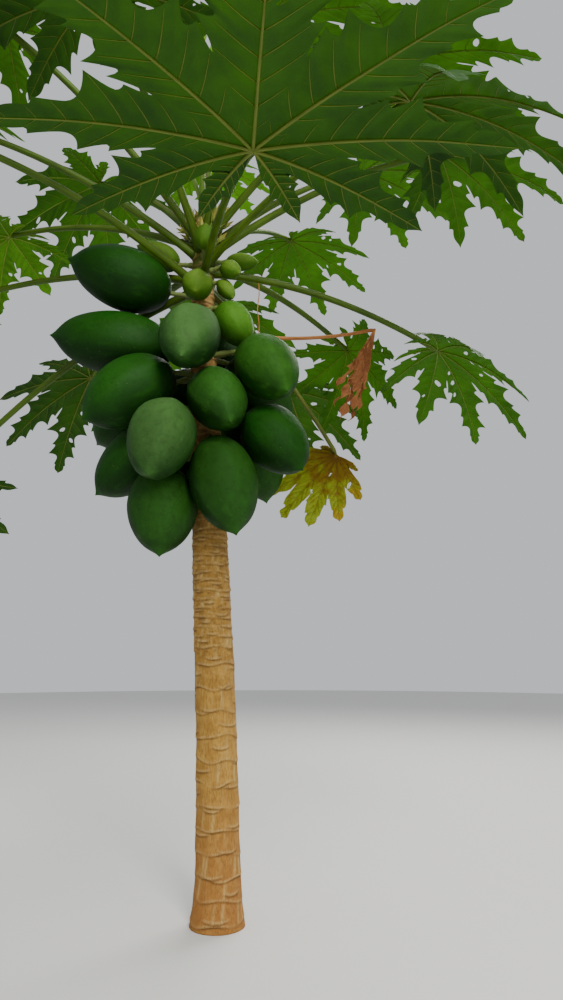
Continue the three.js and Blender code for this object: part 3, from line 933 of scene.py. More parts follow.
def main_ribs(blade, finish, thick):
    """The main ribs on the underside: tapering bars from the hub to each lobe's tip."""
    share = np.linspace(0, NEAR_TIP, RIB_STEPS)[None, :]
    ahead = share * blade.lengths[:, None]
    drop = -thick * (0.75 - 0.45 * share)
    paths, _ = blade.place(ahead, 0 * ahead, blade.bearings[:, None], drop)
    radii = thick * (1 - share) ** 0.8 + 0.35 + 0 * paths[..., 0]
    return *tubes(paths, radii, RIB_SIDES, blade.axes[2]), finish


def side_veins(blade, finish, thick):
    """The side veins: thin bars from the rib along the slanted rows to short of the margin."""
    out = np.linspace(0, NEAR_MARGIN, VEIN_STEPS)[None, :]
    starts = np.arange(VEIN_STEP, 0.93, VEIN_STEP)
    paths, radii = [], []
    for rib, side, length, share, row in blade.halves:
        reach = np.interp(starts, share, row)[:, None]
        ahead, left = along_rows(starts[:, None], reach, out, side, length)
        path, _ = blade.place(ahead, left, rib, -thick * 0.5)
        paths.append(path)
        radii.append(thick * (1 - 0.75 * out) * np.clip(reach / 0.12, 0.45, 1))
    return *tubes(np.concatenate(paths), np.concatenate(radii), VEIN_SIDES, blade.axes[2]), finish


def leaf_parts(blade, stem, finishes, thick, holes=0):
    """A leaf as the parts of one piece: its stalk, lamina, ribs and side veins. thick is the radius
    of a rib and of a side vein where they start."""
    sheet, ribs = finishes
    return [stem, lamina(blade, sheet, holes), main_ribs(blade, ribs, thick[0]),
            side_veins(blade, ribs, thick[1])]


print("ways to make a leaf's parts are ready")

# %% [markdown]
# ## The leaf's finishes
#
# A blade is dark green, and the light that comes through it is a strong yellow green. The ribs
# and stalks are a pale yellow green, and a stalk is browner on its upper side. Each leaf takes one
# of three plain tones by how the light falls on it in the photograph, with ribs to match. Colour
# over the blade follows its own plan: paler beside the ribs, mottled between the veins.


# %% Leaf finishes
def finish_blade(name, deep, pale, through, share):
    """Two greens by cloudy noise, paler beside the ribs and along a fine net of veins."""
    blade = Finish(name, Specular_IOR_Level=0.2)
    place = blade.own((1, 1, 0))
    beside = blade.part(blade.own(), 2)
    patch = blade.noise(place, 0.011, 3, 0.55)
    mottle = blade.noise(place, 0.03, 5, 0.6)
    grain = blade.noise(place, 0.35, 3, 0.6)
    net = blade.node("ShaderNodeTexVoronoi", {"feature": "DISTANCE_TO_EDGE"},
                     {"Vector": place, "Scale": 0.14})
    fine = 1 - net.ramp(0.0, 0.09)
    near_rib = 1 - beside.ramp(0.5, 9)
    colour = blade.mix((mottle * 0.55 + patch * 0.45).ramp(0.36, 0.64), deep, pale)
    colour = blade.mix(near_rib * 0.35 + fine * 0.16, colour, [min(1, 1.5 * c) for c in pale])
    blade.surface(colour, 0.63 + 0.14 * grain)
    blade.bump(fine * -0.6 + grain * 0.5, 0.35, 0.7)
    blade.let_light_through(through, share * (0.3 + 1.4 * patch))
    return blade


def finish_stalk(name, pale, deep, rough=0.45, above=None):
    """Streaks of two tones along the stalk, and a third on its upper side if one is given."""
    stem = Finish(name, Specular_IOR_Level=0.2)
    streaks = stem.noise(stem.own((1, 1, 0.04)), 0.45, 4, 0.6)
    cloud = stem.noise(stem.own((1, 1, 0.3)), 0.03, 3, 0.5)
    colour = stem.mix((streaks * 0.6 + cloud * 0.4).ramp(0.35, 0.65), pale, deep)
    if above:
        upward = stem.part(stem.own(), 1)
        colour = stem.mix((upward + cloud * 8 - 4).ramp(0.5, 7.5) * 0.8, colour, above)
    stem.surface(colour, rough + 0.15 * streaks)
    stem.bump(streaks, 0.5, 0.6)
    return stem


BLADE_TONES = {  # deep, pale, the light that comes through, and its share
    "dark": [(0.006, 0.030, 0.002), (0.012, 0.05, 0.002), (0.05, 0.17, 0.003), 0.16],
    "green": [(0.009, 0.043, 0.002), (0.018, 0.07, 0.003), (0.06, 0.21, 0.004), 0.24],
    "bright": [(0.014, 0.065, 0.003), (0.028, 0.10, 0.004), (0.10, 0.31, 0.005), 0.32],
}
RIB_TONES = {  # pale and deep
    "dark": [(0.13, 0.17, 0.022), (0.085, 0.12, 0.014)],
    "green": [(0.12, 0.20, 0.02), (0.08, 0.14, 0.013)],
    "bright": [(0.20, 0.31, 0.035), (0.14, 0.23, 0.025)],
}
blade_finishes = {tone: finish_blade("leaf_" + tone, *row) for tone, row in BLADE_TONES.items()}
rib_finishes = {tone: finish_stalk("ribs_" + tone, *row) for tone, row in RIB_TONES.items()}
stalk_finish = finish_stalk("leaf_stalk", (0.075, 0.140, 0.008), (0.032, 0.070, 0.004), 0.46,
                            (0.060, 0.046, 0.010))
print("leaf finishes:", list(blade_finishes))

# %% [markdown]
# ## The crown
#
# Twenty-one green leaves stand round the top of the trunk, the oldest lowest and hanging most.
# The rows repeat the CAD model's: height of the foot, bearing, rise and length of the stalk, reach
# of the middle lobe, pitch and roll of the blade, droop of its lobes, and how far the blade is
# turned in its own plane. The last word is its finish.

# %% Leaves
LEAF_ROWS = [
    ["leaf_02", 1403, -105, -33, 800, 270, 62, 8, 0.25, 0, "dark"],
    ["leaf_03", 1418, 160, -6, 600, 320, 28, 0, 0.3, 0, "dark"],
    ["leaf_04", 1430, 13, -11, 640, 460, -2, 0, 0.12, -8, "dark"],
    ["leaf_05", 1406, -50, 10.5, 640, 400, 14, -4, 0.3, 0, "green"],
    ["leaf_06", 1424, -108, 2.6, 808, 285, 71, 0, 0.28, 0, "green"],
    ["leaf_07", 1446, 95, -18, 580, 290, 30, 0, 0.3, 0, "green"],
    ["leaf_08", 1454, -141, -9, 600, 320, 34, 0, 0.3, 0, "dark"],
    ["leaf_09", 1458, 45, 10, 600, 380, 20, 5, 0.3, 0, "dark"],
    ["leaf_10", 1470, 130, -11, 480, 250, 60, 0, 0.3, 0, "green"],
    ["leaf_11", 1484, -74, 23, 620, 310, 8, 0, 0.28, 0, "green"],
    ["leaf_12", 1480, -178, 16, 600, 320, 22, 0, 0.3, 0, "green"],
    ["leaf_13", 1484, 76, 19, 580, 300, 18, 0, 0.28, 0, "green"],
    ["leaf_14", 1494, -20, 34, 540, 390, 14, 0, 0.26, 0, "dark"],
    ["leaf_15", 1512, -111, 15.5, 600, 290, 25, -10, 0.22, 0, "bright"],
    ["leaf_16", 1510, 106, 36, 500, 280, 8, 0, 0.24, 0, "green"],
    ["leaf_17", 1522, 154, 30, 560, 290, 12, 0, 0.26, 0, "green"],
    ["leaf_18", 1534, -130, 40, 540, 310, 30, 0, 0.3, 0, "green"],
    ["leaf_19", 1546, 30, 48, 460, 330, 4, 0, 0.22, 0, "green"],
    ["leaf_20", 1558, -176, 58, 430, 230, 2, 0, 0.22, 0, "bright"],
    ["leaf_21", 1522, 57, 28, 560, 320, 10, 0, 0.26, 0, "green"],
    ["leaf_22", 1526, -58, 38, 590, 320, 12, 0, 0.26, 0, "green"],
]
STALK_RADII = (10.5, 7)
STALK_BOW = 0.07
LEAF_SEED = 100
HOLES = {"leaf_04": 3, "leaf_05": 12, "leaf_07": 14, "leaf_11": 16}
OTHER_HOLES = 7  # in each of the other leaves
RIB_SHARES = (0.0062, 0.0024)  # radius of the ribs and the side veins, of the blade's reach


def make_leaf(row, seed):
    """A green leaf that stands for its CAD node."""
    name, foot, bearing, rise, length, reach, pitch, roll, droop, turn, tone = row
    start, hub = stalk_ends(foot, bearing, rise, length)
    blade = Blade(LEAF_EDGES, reach, droop, hub, leaf_axes(bearing, pitch, roll, turn), seed)
    stem = stalk(start, hub, STALK_BOW * length, STALK_RADII, stalk_finish)
    finishes = (blade_finishes[tone], rib_finishes[tone])
    thick = [share * reach for share in RIB_SHARES]
    parts = leaf_parts(blade, stem, finishes, thick, HOLES.get(name, OTHER_HOLES))
    return make_piece(name + "_fine", parts, [name])


leaf_triangles = 0
for number, row in enumerate(LEAF_ROWS):
    piece = make_leaf(row, LEAF_SEED + number)
    leaf_triangles += len(piece.data.loops) - 2 * len(piece.data.polygons)
print("leaves:", len(LEAF_ROWS), "triangles:", leaf_triangles)

# %% [markdown]
# ## Yellow leaf and dead leaf
#
# The oldest leaf hangs low on the right: it has turned yellow, browns from the hub outwards, and
# its lobes have gathered. One more has died: its stalk lies dry and brown across the fruit, with
# its withered blade hanging from the end and a thread of dry fibre coming down to it. Both are
# made by the leaf's own rule, with their lobes drawn together.


# %% Finish of a withered leaf
def finish_withered(name, near_hub, far, edge, through, share, reach):
    """Rust at the hub that reaches out in blotches, then a paler tone, and a burnt edge on the lobes
    of one side, blotched, with light coming through."""
    blade = Finish(name, Specular_IOR_Level=0.2)
    place = blade.own((1, 1, 0))
    distance = blade.node("ShaderNodeVectorMath", {"operation": "LENGTH"}, {0: place}, output=1)
    across = blade.part(place, 1)
    blotch = blade.noise(place, 0.03, 5, 0.65)
    fine = blade.noise(place, 0.12, 4, 0.6)
    browning = (distance / reach + (blotch - 0.5) * 1.8).ramp(0.24, 0.66)
    spots = fine.ramp(0.56, 0.66)
    colour = blade.mix(browning, near_hub, far)
    one_side = (across / reach + (blotch - 0.5)).ramp(0.42, 0.64)
    colour = blade.mix(one_side * 0.7, colour, edge)
    colour = blade.mix(spots * 0.65, colour, near_hub)
    blade.surface(colour, 0.6 + 0.2 * blotch)
    blade.bump(blotch + fine * 0.5, 1.5, 0.8)
    blade.let_light_through(through, share * (0.5 + blotch))
    return blade


yellow_blade = finish_withered("leaf_yellow", (0.14, 0.032, 0.004), (0.20, 0.28, 0.020),
                               (0.34, 0.11, 0.009), (0.28, 0.30, 0.014), 0.3, 210)
yellow_ribs = finish_stalk("ribs_yellow", (0.24, 0.16, 0.02), (0.15, 0.085, 0.012))
yellow_stem = finish_stalk("stalk_yellow", (0.16, 0.19, 0.03), (0.08, 0.11, 0.015))
dry_blade = finish_withered("leaf_dry", (0.20, 0.07, 0.022), (0.34, 0.13, 0.05),
                            (0.26, 0.1, 0.04), (0.30, 0.12, 0.045), 0.15, 245)
dry_stem = finish_stalk("stalk_dry", (0.50, 0.22, 0.07), (0.24, 0.085, 0.025), 0.6)
print("withered finishes are ready")

# %% Withered leaves
YELLOW_ROW = [1400, 114, -48, 500, 210, 120, 140, 0.1, -20]
DEAD_ROW = [1300, 92, 1, 385, 245, 109, 28, 0.05, 0]
YELLOW_SHAPE = (OLD_EDGES, 0.62, OLD_WEB_REACH, 0.03)  # edges, gather, web, crumple
DEAD_SHAPE = (YOUNG_EDGES, 0.26, WEB_REACH, 0.08)
YELLOW_RADII = (8, 5)
DEAD_RADII = (5.5, 4)
DEAD_BOW = -0.06
WITHERED_HOLES = 5
WITHERED_RIB_SHARES = (0.01, 0.004)


def make_withered(name, row, shape, radii, bow, finishes, seed):
    """A leaf as the others, gathered and crumpled, in its own finishes."""
    foot, bearing, rise, length, reach, pitch, roll, droop, turn = row
    edges, gather, web, crumple = shape
    start, hub = stalk_ends(foot, bearing, rise, length)
    axes = leaf_axes(bearing, pitch, roll, turn)
    blade = Blade(edges, reach, droop, hub, axes, seed, gather, web, crumple)
    sheet, ribs, stem = finishes
    thick = [share * reach for share in WITHERED_RIB_SHARES]
    parts = leaf_parts(blade, stalk(start, hub, bow * length, radii, stem), (sheet, ribs), thick,
                       WITHERED_HOLES)
    return make_piece(name + "_fine", parts, [name])


make_withered("leaf_01_yellow", YELLOW_ROW, YELLOW_SHAPE, YELLOW_RADII, STALK_BOW,
              (yellow_blade, yellow_ribs, yellow_stem), 41)
make_withered("dead_leaf", DEAD_ROW, DEAD_SHAPE, DEAD_RADII, DEAD_BOW,
              (dry_blade, dry_stem, dry_stem), 43)
print("withered leaves: 2")

# %% A dry fibre
FIBRE_ABOVE = "leaf_07"
FIBRE_TOP_SHARE = 0.219  # of the way along the stalk that it hangs from
FIBRE_FOOT_SHARE = 0.296  # of the way along the dead stalk


def on_stalk(foot, bearing, rise, length, bow, share):
    """The point at a share of a stalk's curve."""
    start, hub = stalk_ends(foot, bearing, rise, length)
    middle = (start + hub) / 2 + np.array([0, 0, 2 * bow * length])
    return quadratic(start, middle, hub, [share])[0]


def make_fibre(top, bottom, finish):
    """A dry fibre from one stalk down to another, with a little waver of sines on the way."""
    t = np.linspace(0, 1, 40)[:, None]
    inside = np.sin(np.pi * t)
    swing = np.concatenate([2.5 * np.sin(9 * t) * inside, 2 * np.sin(5 * t) * inside, 0 * t], axis=1)
    path = top * (1 - t) + bottom * t + swing
    radius = 1.1 + 0.4 * np.sin(31 * t[:, 0]) ** 2
    bar = tubes(path[None], radius[None], 6, np.array([1.0, 0, 0]))
    return make_piece("dry_fibre", [(*bar, finish)])


leaf_above = next(row for row in LEAF_ROWS if row[0] == FIBRE_ABOVE)
fibre_top = on_stalk(*leaf_above[1:5], STALK_BOW, FIBRE_TOP_SHARE)
fibre_foot = on_stalk(*DEAD_ROW[:4], DEAD_BOW, FIBRE_FOOT_SHARE)
make_fibre(fibre_top, fibre_foot, dry_stem)
print("length of the fibre:", np.linalg.norm(fibre_top - fibre_foot))

# %% [markdown]
# ## Fruit
#
# A green papaya is a long drop: a round shoulder under its stalk, widest a little before the
# middle, faintly five-sided, with a small nipple at the tip. The fruit pushed each other into
# place in the CAD model, so each one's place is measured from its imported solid: the tip is its
# farthest point, and the rings behind the tip give its axis and its girth.

# %% Measure a fruit in the frame
RING_SIDES = {"fruit": 10, "young": 8}
RING_SHARES = {"fruit": [0.96, 0.86, 0.68, 0.46], "young": [0.93, 0.75, 0.45]}
NEAR_BARK = 1.5


def outline(share):
    """Half the girth at a share of the length: 2.357 s^0.55 (1-s)^0.7."""
    return 2.357 * share**0.55 * (1 - share) ** 0.7


def points_of(node):
    """The distinct points of a CAD node, in millimetres."""
    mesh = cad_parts[node].data
    points = np.zeros(len(mesh.vertices) * 3, np.float32)
    mesh.vertices.foreach_get("co", points)
    return np.unique(np.round(points.reshape(-1, 3).astype(float) / MM, 2), axis=0)


def measure_fruit(node, kind):
    """Shoulder, tip, girth and foot of a fruit. The foot is the middle of the points on the bark.
    The points nearest the tip lie in rings of equal distance, and the middle of the widest ring
    is on the axis at a known share of the length."""
    points = points_of(node)
    from_middle = np.linalg.norm((points - trunk_middle(points[:, 2]))[:, :2], axis=1)
    off_bark = from_middle - trunk_radius(points[:, 2])
    foot = points[off_bark < off_bark.min() + NEAR_BARK].mean(axis=0)
    tip = points[np.linalg.norm(points - foot, axis=1).argmax()]
    order = np.argsort(np.linalg.norm(points - tip, axis=1))[1:]
    sides, shares = RING_SIDES[kind], RING_SHARES[kind]
    ring = points[order[(len(shares) - 1) * sides:len(shares) * sides]]
    middle = ring.mean(axis=0)
    axis = tip - middle
    shoulder = tip - axis / (1 - shares[-1])
    girth = 2 * np.linalg.norm(ring - middle, axis=1).mean() / outline(shares[-1])
    return {"shoulder": shoulder, "tip": tip, "girth": girth, "foot": foot}


sample = measure_fruit("fruit_01", "fruit")
print("length of the first fruit:", np.linalg.norm(sample["tip"] - sample["shoulder"]))
print("girth of the first fruit:", sample["girth"])

# %% [markdown]
# ## The fruit's skin and stalk
#
# The skin is waxy and dark green with a faint bloom, dotted with corky specks and small pits.
# Light is painted on it: the side that faces up and forward is painted paler with a grey-green
# sheen, and the ridges carry a faint painted highlight. The short woody stalk has knuckles where
# it was joined, and the dry remains of the flower make a brown point at the tip. Each fruit takes
# one of five tones, as the photograph shows it; the dark tone is painted shade for the fruit that
# the crown shades.


# %% Fruit finishes
def finish_fruit(name, deep, pale, bloom_and_highlight, waxy, rough):
    """Deep to pale by clouds and by painted light on the side that faces it, then bloom in streaks,
    a painted highlight on the ridges, a painted sheen where the light falls, mottle, specks and
    pits, and a brown point at the tip."""
    skin = Finish(name, Specular_IOR_Level=0.1)
    place = skin.own()
    cloud = skin.noise(place, 0.014, 4, 0.55)
    streaks = skin.noise(skin.own((1, 1, 0.25)), 0.06, 4, 0.6)
    fine = skin.noise(place, 0.3, 4, 0.65)
    specks = skin.node("ShaderNodeTexVoronoi", {}, {"Vector": place, "Scale": 0.11})
    dots = 1 - specks.ramp(0.05, 0.14)
    where = skin.noise(place, 0.05, 2, 0.5)
    patchy = dots * where.ramp(0.5, 0.66)
    pits = dots * where.ramp(0.5, 0.36)
    mottle = skin.noise(place, 0.075, 5, 0.68)
    painted_light = skin.value("painted_light")
    # painted light: paler on the side that faces the light
    colour = skin.mix(cloud.ramp(0.35, 0.7) * 0.4 + painted_light * 0.6, deep, pale)
    colour = skin.mix(streaks.ramp(0.5, 0.75) * 0.5, colour, bloom_and_highlight)
    # painted highlight along the ridges
    colour = skin.mix(skin.value("ridge") * 0.2, colour, bloom_and_highlight)
    colour = skin.mix(skin.value("point").ramp(0.9, 0.975) * 0.6, colour, bloom_and_highlight)
    # painted sheen where the light falls
    colour = skin.mix(painted_light * (0.3 + 0.6 * cloud), colour, waxy)
    colour = skin.mix(mottle.ramp(0.54, 0.34) * 0.24, colour, deep)
    colour = skin.mix(patchy * 0.4, colour, (0.22, 0.29, 0.09))
    colour = skin.mix(pits * 0.5, colour, deep)
    colour = skin.mix(skin.value("point").ramp(0.988, 0.998) * 0.8, colour, (0.06, 0.045, 0.015))
    skin.surface(colour, rough + 0.14 * fine)
    skin.bump(fine * 0.7 + mottle * 2.2 - pits * 1.2 + streaks * 0.8, 0.7, 0.8)
    return skin


SKIN_TONES = {  # deep, pale, bloom and painted ridge highlight, painted sheen where the light falls, and roughness
    "dark": [(0.002, 0.018, 0.001), (0.005, 0.036, 0.002), (0.010, 0.070, 0.004),
             (0.015, 0.098, 0.005), 0.46],
    "green": [(0.003, 0.022, 0.001), (0.008, 0.050, 0.002), (0.021, 0.098, 0.009),
              (0.038, 0.140, 0.018), 0.48],
    "lively": [(0.004, 0.030, 0.001), (0.012, 0.070, 0.003), (0.030, 0.130, 0.011),
               (0.055, 0.185, 0.020), 0.48],
    "waxy": [(0.005, 0.030, 0.003), (0.018, 0.068, 0.009), (0.042, 0.130, 0.023),
             (0.090, 0.205, 0.052), 0.52],
    "fresh": [(0.022, 0.085, 0.004), (0.040, 0.14, 0.006), (0.065, 0.19, 0.010),
              (0.085, 0.22, 0.016), 0.5],
}
fruit_skins = {tone: finish_fruit("fruit_" + tone, *row) for tone, row in SKIN_TONES.items()}
young_skin = finish_fruit("young_skin", (0.034, 0.100, 0.005), (0.058, 0.140, 0.007),
                          (0.105, 0.19, 0.018), (0.12, 0.21, 0.026), 0.5)
fruit_stem = finish_stalk("fruit_stem", (0.17, 0.22, 0.055), (0.10, 0.14, 0.035), 0.6)
print("fruit finishes:", list(fruit_skins))

# %% Body and stalk of a fruit
FRUIT_RINGS = 44
FRUIT_SIDES = 50
RIBBING = {"fruit": 0.036, "young": 0.05}
FRUIT_STALK_RADII = (7, 5)
FRUIT_STALK_STEPS = 22
FRUIT_STALK_SIDES = 12
# the direction that the painted light on the fruit comes from
PAINTED_LIGHT_WAY = unit(np.array([0.15, -0.75, 0.75]))


def fruit_body(fruit, finish, ribbing, seed):
    """Rings along the axis: radius = girth/2 * outline * (1 + ribbing cos 5a), closed in towards a
    nipple at the tip, and the shoulder drawn in a little round the stalk."""
    chance = np.random.default_rng(seed)
    axis = fruit["tip"] - fruit["shoulder"]
    length = np.linalg.norm(axis)
    ahead = axis / length
    share = 0.5 - 0.5 * np.cos(np.pi * np.linspace(0.02, 0.992, FRUIT_RINGS))
    nipple = 1 - 0.75 * np.exp(-(((1 - share) / 0.07) ** 1.5))
    radius = fruit["girth"] / 2 * outline(share) * nipple
    turn = 2 * np.pi * np.arange(FRUIT_SIDES) / FRUIT_SIDES
    start = chance.uniform(0, 2 * np.pi)
    swell = np.sin(np.pi * share)[:, None] ** 0.6
    around = turn[None] + start + 0.12 * np.sin(2 * turn[None] + start)
    ridge = (0.5 + 0.5 * np.cos(5 * around)) ** 4 * swell
    five = np.cos(5 * around) + 0.3 * np.cos(10 * around)
    lobes = 1 + ribbing * five * (1 - 0.55 * swell) * (1 - 0.5 * share[:, None])
    uneven = 1 + 0.018 * np.sin(2 * turn[None] + start * 3 + 2 * share[:, None]) * swell
    radius = radius[:, None] * lobes * uneven
    aside = unit(np.cross(ahead, [0.3, 0.1, 1.0]))
    above = np.cross(ahead, aside)
    spoke = aside * np.cos(turn)[:, None] + above * np.sin(turn)[:, None]
    dimple = 0.012 * np.clip(1 - share / 0.07, 0, 1) ** 2
    spine = fruit["shoulder"] + (share + dimple)[:, None] * axis
    rings = spine[:, None] + radius[..., None] * spoke[None]
    poles = [fruit["shoulder"][None] + 0.015 * axis, fruit["tip"][None]]
    points, faces = closed_bars(rings[None], *poles)
    down = share[:, None] * length + 0 * radius
    flat = np.stack([radius * np.cos(turn), radius * np.sin(turn), down], axis=-1)
    own = np.concatenate([flat.reshape(-1, 3), [[0, 0, 0], [0, 0, length]]])
    own = own + chance.uniform(-900, 900)
    # painted light: how much each point faces the light, for the skin's paler side and painted sheen
    painted_light = np.clip(spoke @ PAINTED_LIGHT_WAY, 0, 1)[None] * np.sin(np.pi * share)[:, None] ** 0.4
    numbers = {"point": np.append(np.repeat(share, FRUIT_SIDES), [0, 1]),
               "ridge": np.append(ridge, [0, 0]),
               "painted_light": np.append(painted_light**1.3, [0, 0])}
    return (points, faces, own, finish), numbers


def fruit_stalk(fruit, finish):
    """A short curved stalk from the bark into the shoulder, with three knuckles on it."""
    axis = fruit["tip"] - fruit["shoulder"]
    inner = trunk_middle(fruit["foot"][2])
    way = fruit["foot"] - inner
    way[2] = 0
    start = inner + 0.5 * way
    bend = start + unit(way) * np.linalg.norm(fruit["shoulder"] - start) * 0.6
    t = np.linspace(0, 1, FRUIT_STALK_STEPS)
    path = quadratic(start, bend, fruit["shoulder"] + 0.07 * axis, t)
    base, end = FRUIT_STALK_RADII
    radius = end + (base - end) * (1 - t) ** 2
    knuckles = 0.22 * np.exp(-(((t - 0.55) / 0.05) ** 2)) + 0.5 * np.exp(-(((t - 0.93) / 0.09) ** 2))
    radius = radius * (1 + knuckles + 0.3 * np.exp(-(((t - 0.3) / 0.1) ** 2)))
    return *tubes(path[None], radius[None], FRUIT_STALK_SIDES, UP), finish


print("direction of the sunny side:", PAINTED_LIGHT_WAY)

# %% All the fruit
# The dark tone is painted shade for the fruit that the crown shades; the tone with wax and painted
# sheen goes to fruit in the most light.
TONE_NUMBERS = {"dark": [1, 4, 5, 7, 10, 13, 15], "fresh": [2], "waxy": [3, 12], "lively": [6]}
FRUIT_SEED = 200
YOUNG_SEED = 300


def make_fruit(node, kind, skin, seed):
    """A fruit and its stalk as one piece that stands for its CAD node."""
    fruit = measure_fruit(node, kind)
    body, numbers = fruit_body(fruit, skin, RIBBING[kind], seed)
    stem = fruit_stalk(fruit, fruit_stem)
    numbers = {name: np.append(values, np.zeros(len(stem[0]))) for name, values in numbers.items()}
    return make_piece(node + "_fine", [body, stem], [node], numbers)


tones = {f"fruit_{number:02}": tone for tone, group in TONE_NUMBERS.items() for number in group}
fruit_nodes = sorted(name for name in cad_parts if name.startswith("fruit_"))
young_nodes = sorted(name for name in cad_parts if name.startswith("young_fruit_"))
for number, node in enumerate(fruit_nodes):
    skin = fruit_skins[tones.get(node, "green")]
    make_fruit(node, "fruit", skin, FRUIT_SEED + number)
for number, node in enumerate(young_nodes):
    make_fruit(node, "young", young_skin, YOUNG_SEED + number)
print("fruit:", len(fruit_nodes), "young fruit:", len(young_nodes))

# %% [markdown]
# ## The growing tip
#
# The trunk ends in a bud, and the youngest leaves stand upright round it, each a little smaller
# than the one before. They are made by the leaf's own rule with fewer lobes and a lighter finish.

# %% Bud and young leaves
YOUNG_LEAVES = 5
YOUNG_RISE = (60, 6)  # of the first leaf, and how much more for each next one
YOUNG_PITCH = -35
YOUNG_DROOP = -0.15
YOUNG_STALK = 290
YOUNG_RADII = (6, 4)
YOUNG_REACH = 130
YOUNG_KEEPS = 0.8
YOUNG_FEET = (10, 4)  # height over the bud's foot of the first stalk, and step to the next
YOUNG_THICK = (1.4, 0.45)
YOUNG_LEAF_SEED = 60
BUD_FOOT = 2
BUD_LENGTH = 50
BUD_RADIUS = 13
BUD_RINGS = 24
BUD_SIDES = 30

young_blade = finish_blade("leaf_young", (0.045, 0.14, 0.010), (0.08, 0.21, 0.016),
                           (0.26, 0.50, 0.03), 0.36)
young_stem = finish_stalk("stalk_young", (0.19, 0.29, 0.05), (0.11, 0.20, 0.03))


def make_bud(finish):
    """A pointed bud: rings whose radius falls as (1 - t^2)^0.8, with five soft folds."""
    t = np.linspace(0.0, 0.98, BUD_RINGS)
    turn = 2 * np.pi * np.arange(BUD_SIDES) / BUD_SIDES
    radius = BUD_RADIUS * (1 - t**2) ** 0.8
    radius = radius[:, None] * (1 + 0.07 * np.cos(5 * turn[None] + 5 * t[:, None]))
    foot = np.array([TOP_LEAN, 0, TRUNK_HEIGHT + BUD_FOOT])
    up = t[:, None] * BUD_LENGTH + 0 * radius
    rings = np.stack([radius * np.cos(turn), radius * np.sin(turn), up], axis=-1)
    poles = foot + np.array([[0, 0, 0], [0, 0, BUD_LENGTH]])
    points, faces = closed_bars((rings + foot)[None], poles[:1], poles[1:])
    return points, faces, points - foot, finish


def make_growing_tip():
    """The bud and its young leaves, one piece."""
    parts = [make_bud(young_stem)]
    for number in range(YOUNG_LEAVES):
        size = YOUNG_KEEPS**number
        bearing = number * GOLDEN_ANGLE
        height = BUD_FOOT + YOUNG_FEET[0] + number * YOUNG_FEET[1]
        start = trunk_middle(TRUNK_HEIGHT) + np.array([0, 0, height])
        rise = YOUNG_RISE[0] + number * YOUNG_RISE[1]
        hub = start + outward(bearing, rise) * YOUNG_STALK * size
        blade = Blade(YOUNG_EDGES, YOUNG_REACH * size, YOUNG_DROOP, hub,
                      leaf_axes(bearing, YOUNG_PITCH, 0), YOUNG_LEAF_SEED + number)
        stem = stalk(start, hub, 0, YOUNG_RADII, young_stem)
        thick = [radius * size for radius in YOUNG_THICK]
        parts += leaf_parts(blade, stem, (young_blade, young_stem), thick)
    return make_piece("growing_tip_fine", parts, ["growing_tip"])


make_growing_tip()
print("young leaves:", YOUNG_LEAVES)

# %% [markdown]
# ## Blossom
#
# Creamy flowers sit close together where the younger leaf stalks leave the trunk: each has a short
# stem and five petals that start as a slim tube and curl back, some of them browning. Unopened
# ones keep their petals shut. A petal is a flattened closed bar, so a flower is whole from every
# side.

# %% One flower
PETALS = 5
PETAL_STEPS = 12
PETAL_SIDES = 8


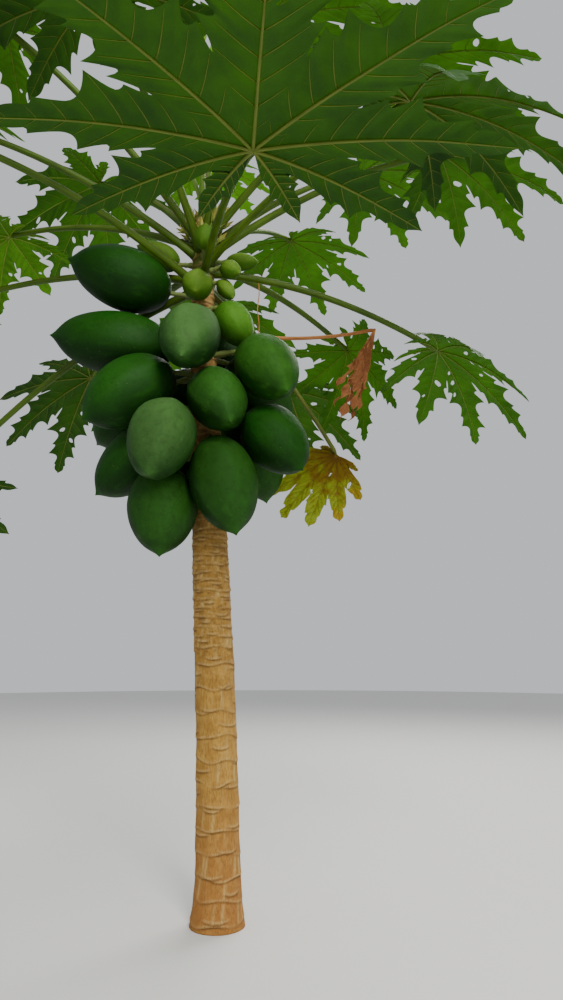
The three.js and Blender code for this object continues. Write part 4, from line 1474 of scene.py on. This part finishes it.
def petals(base, axis, length, spread, width, finish):
    """Petals round an axis. A petal's path leaves the axis by length * (0.07 + 0.05 sin(pi t) +
    spread t^2.5), its half width is width * sin(pi (0.08 + 0.89 t^0.7)), and its half thickness a
    sixth of that."""
    t = np.linspace(0, 1, PETAL_STEPS)[None, :, None]
    aside = unit(np.cross(axis, [0.4, 0.2, 1.0]))
    above = np.cross(axis, aside)
    turn = 2 * np.pi * np.arange(PETALS)[:, None, None] / PETALS
    out = aside * np.cos(turn) + above * np.sin(turn)
    side = above * np.cos(turn) - aside * np.sin(turn)
    leave = 0.07 + 0.05 * np.sin(np.pi * t) + spread * t**2.5
    paths = base + axis * length * t * (1 - 0.3 * max(spread, 0) * t) + out * length * leave
    half_width = width * np.sin(np.pi * (0.08 + 0.89 * t**0.7))
    round_turn = 2 * np.pi * np.arange(PETAL_SIDES)[:, None] / PETAL_SIDES
    rings = paths[:, :, None] + (half_width * side)[:, :, None] * np.cos(round_turn)
    rings = rings + (half_width / 6 * out)[:, :, None] * np.sin(round_turn)
    points, faces = closed_bars(rings, paths[:, 0], paths[:, -1])
    away = points - base
    own = np.stack([away @ aside, away @ above, away @ axis / length], axis=-1)
    return points, faces, own, finish


def finish_petal():
    """Cream with a green foot and browning tips: own z is the share of the petal's length."""
    petal = Finish("petal", Specular_IOR_Level=0.2)
    place = petal.own()
    share = petal.part(place, 2)
    blotch = petal.noise(place, 0.12, 4, 0.6)
    colour = petal.mix(share.ramp(0.0, 0.6), (0.24, 0.34, 0.045), (0.46, 0.48, 0.10))
    colour = petal.mix((share * 0.5 + blotch).ramp(0.76, 1.06) * 0.7, colour, (0.42, 0.19, 0.04))
    petal.surface(colour, 0.5 + 0.2 * blotch)
    petal.let_light_through((0.6, 0.45, 0.12), 0.2)
    return petal


print("petals of a flower:", PETALS)

# %% All the flowers
FLOWER_LEAVES = 11  # the youngest leaves have flowers at their foot
FLOWER_SIDES = (-1.5, -0.5, 0.5, 1.5)
FLOWER_STEM_RADII = (2.6, 1.9)
OPEN_SHARE = 0.6
SHUT_SPREAD = -0.04
FLOWER_SEED = 71


def make_flowers(rows, seed):
    """Four flowers or buds over the foot of each leaf in the rows, on short stems from the bark."""
    chance = np.random.default_rng(seed)
    petal = finish_petal()
    parts = []
    for _, foot, bearing, rise, *_ in rows:
        for side in FLOWER_SIDES:
            height = foot + chance.uniform(12, 26)
            around = bearing + side * chance.uniform(10, 20)
            way = outward(around, min(max(rise, 25) + chance.uniform(12, 40), 74))
            length = chance.uniform(25, 38)
            opened = chance.uniform() < OPEN_SHARE
            start = trunk_middle(height) + outward(around) * trunk_radius(height) * 0.7
            base = start + way * (trunk_radius(height) * 0.3 + chance.uniform(12, 46))
            parts.append(stalk(start, base + 2 * way, -1, FLOWER_STEM_RADII, young_stem))
            spread = chance.uniform(0.25, 0.42) if opened else SHUT_SPREAD
            width = length * (0.14 if opened else 0.11)
            parts.append(petals(base, way, length, spread, width, petal))
    return make_piece("flowers", parts)


make_flowers(LEAF_ROWS[-FLOWER_LEAVES:], FLOWER_SEED)
print("flowers:", FLOWER_LEAVES * len(FLOWER_SIDES))
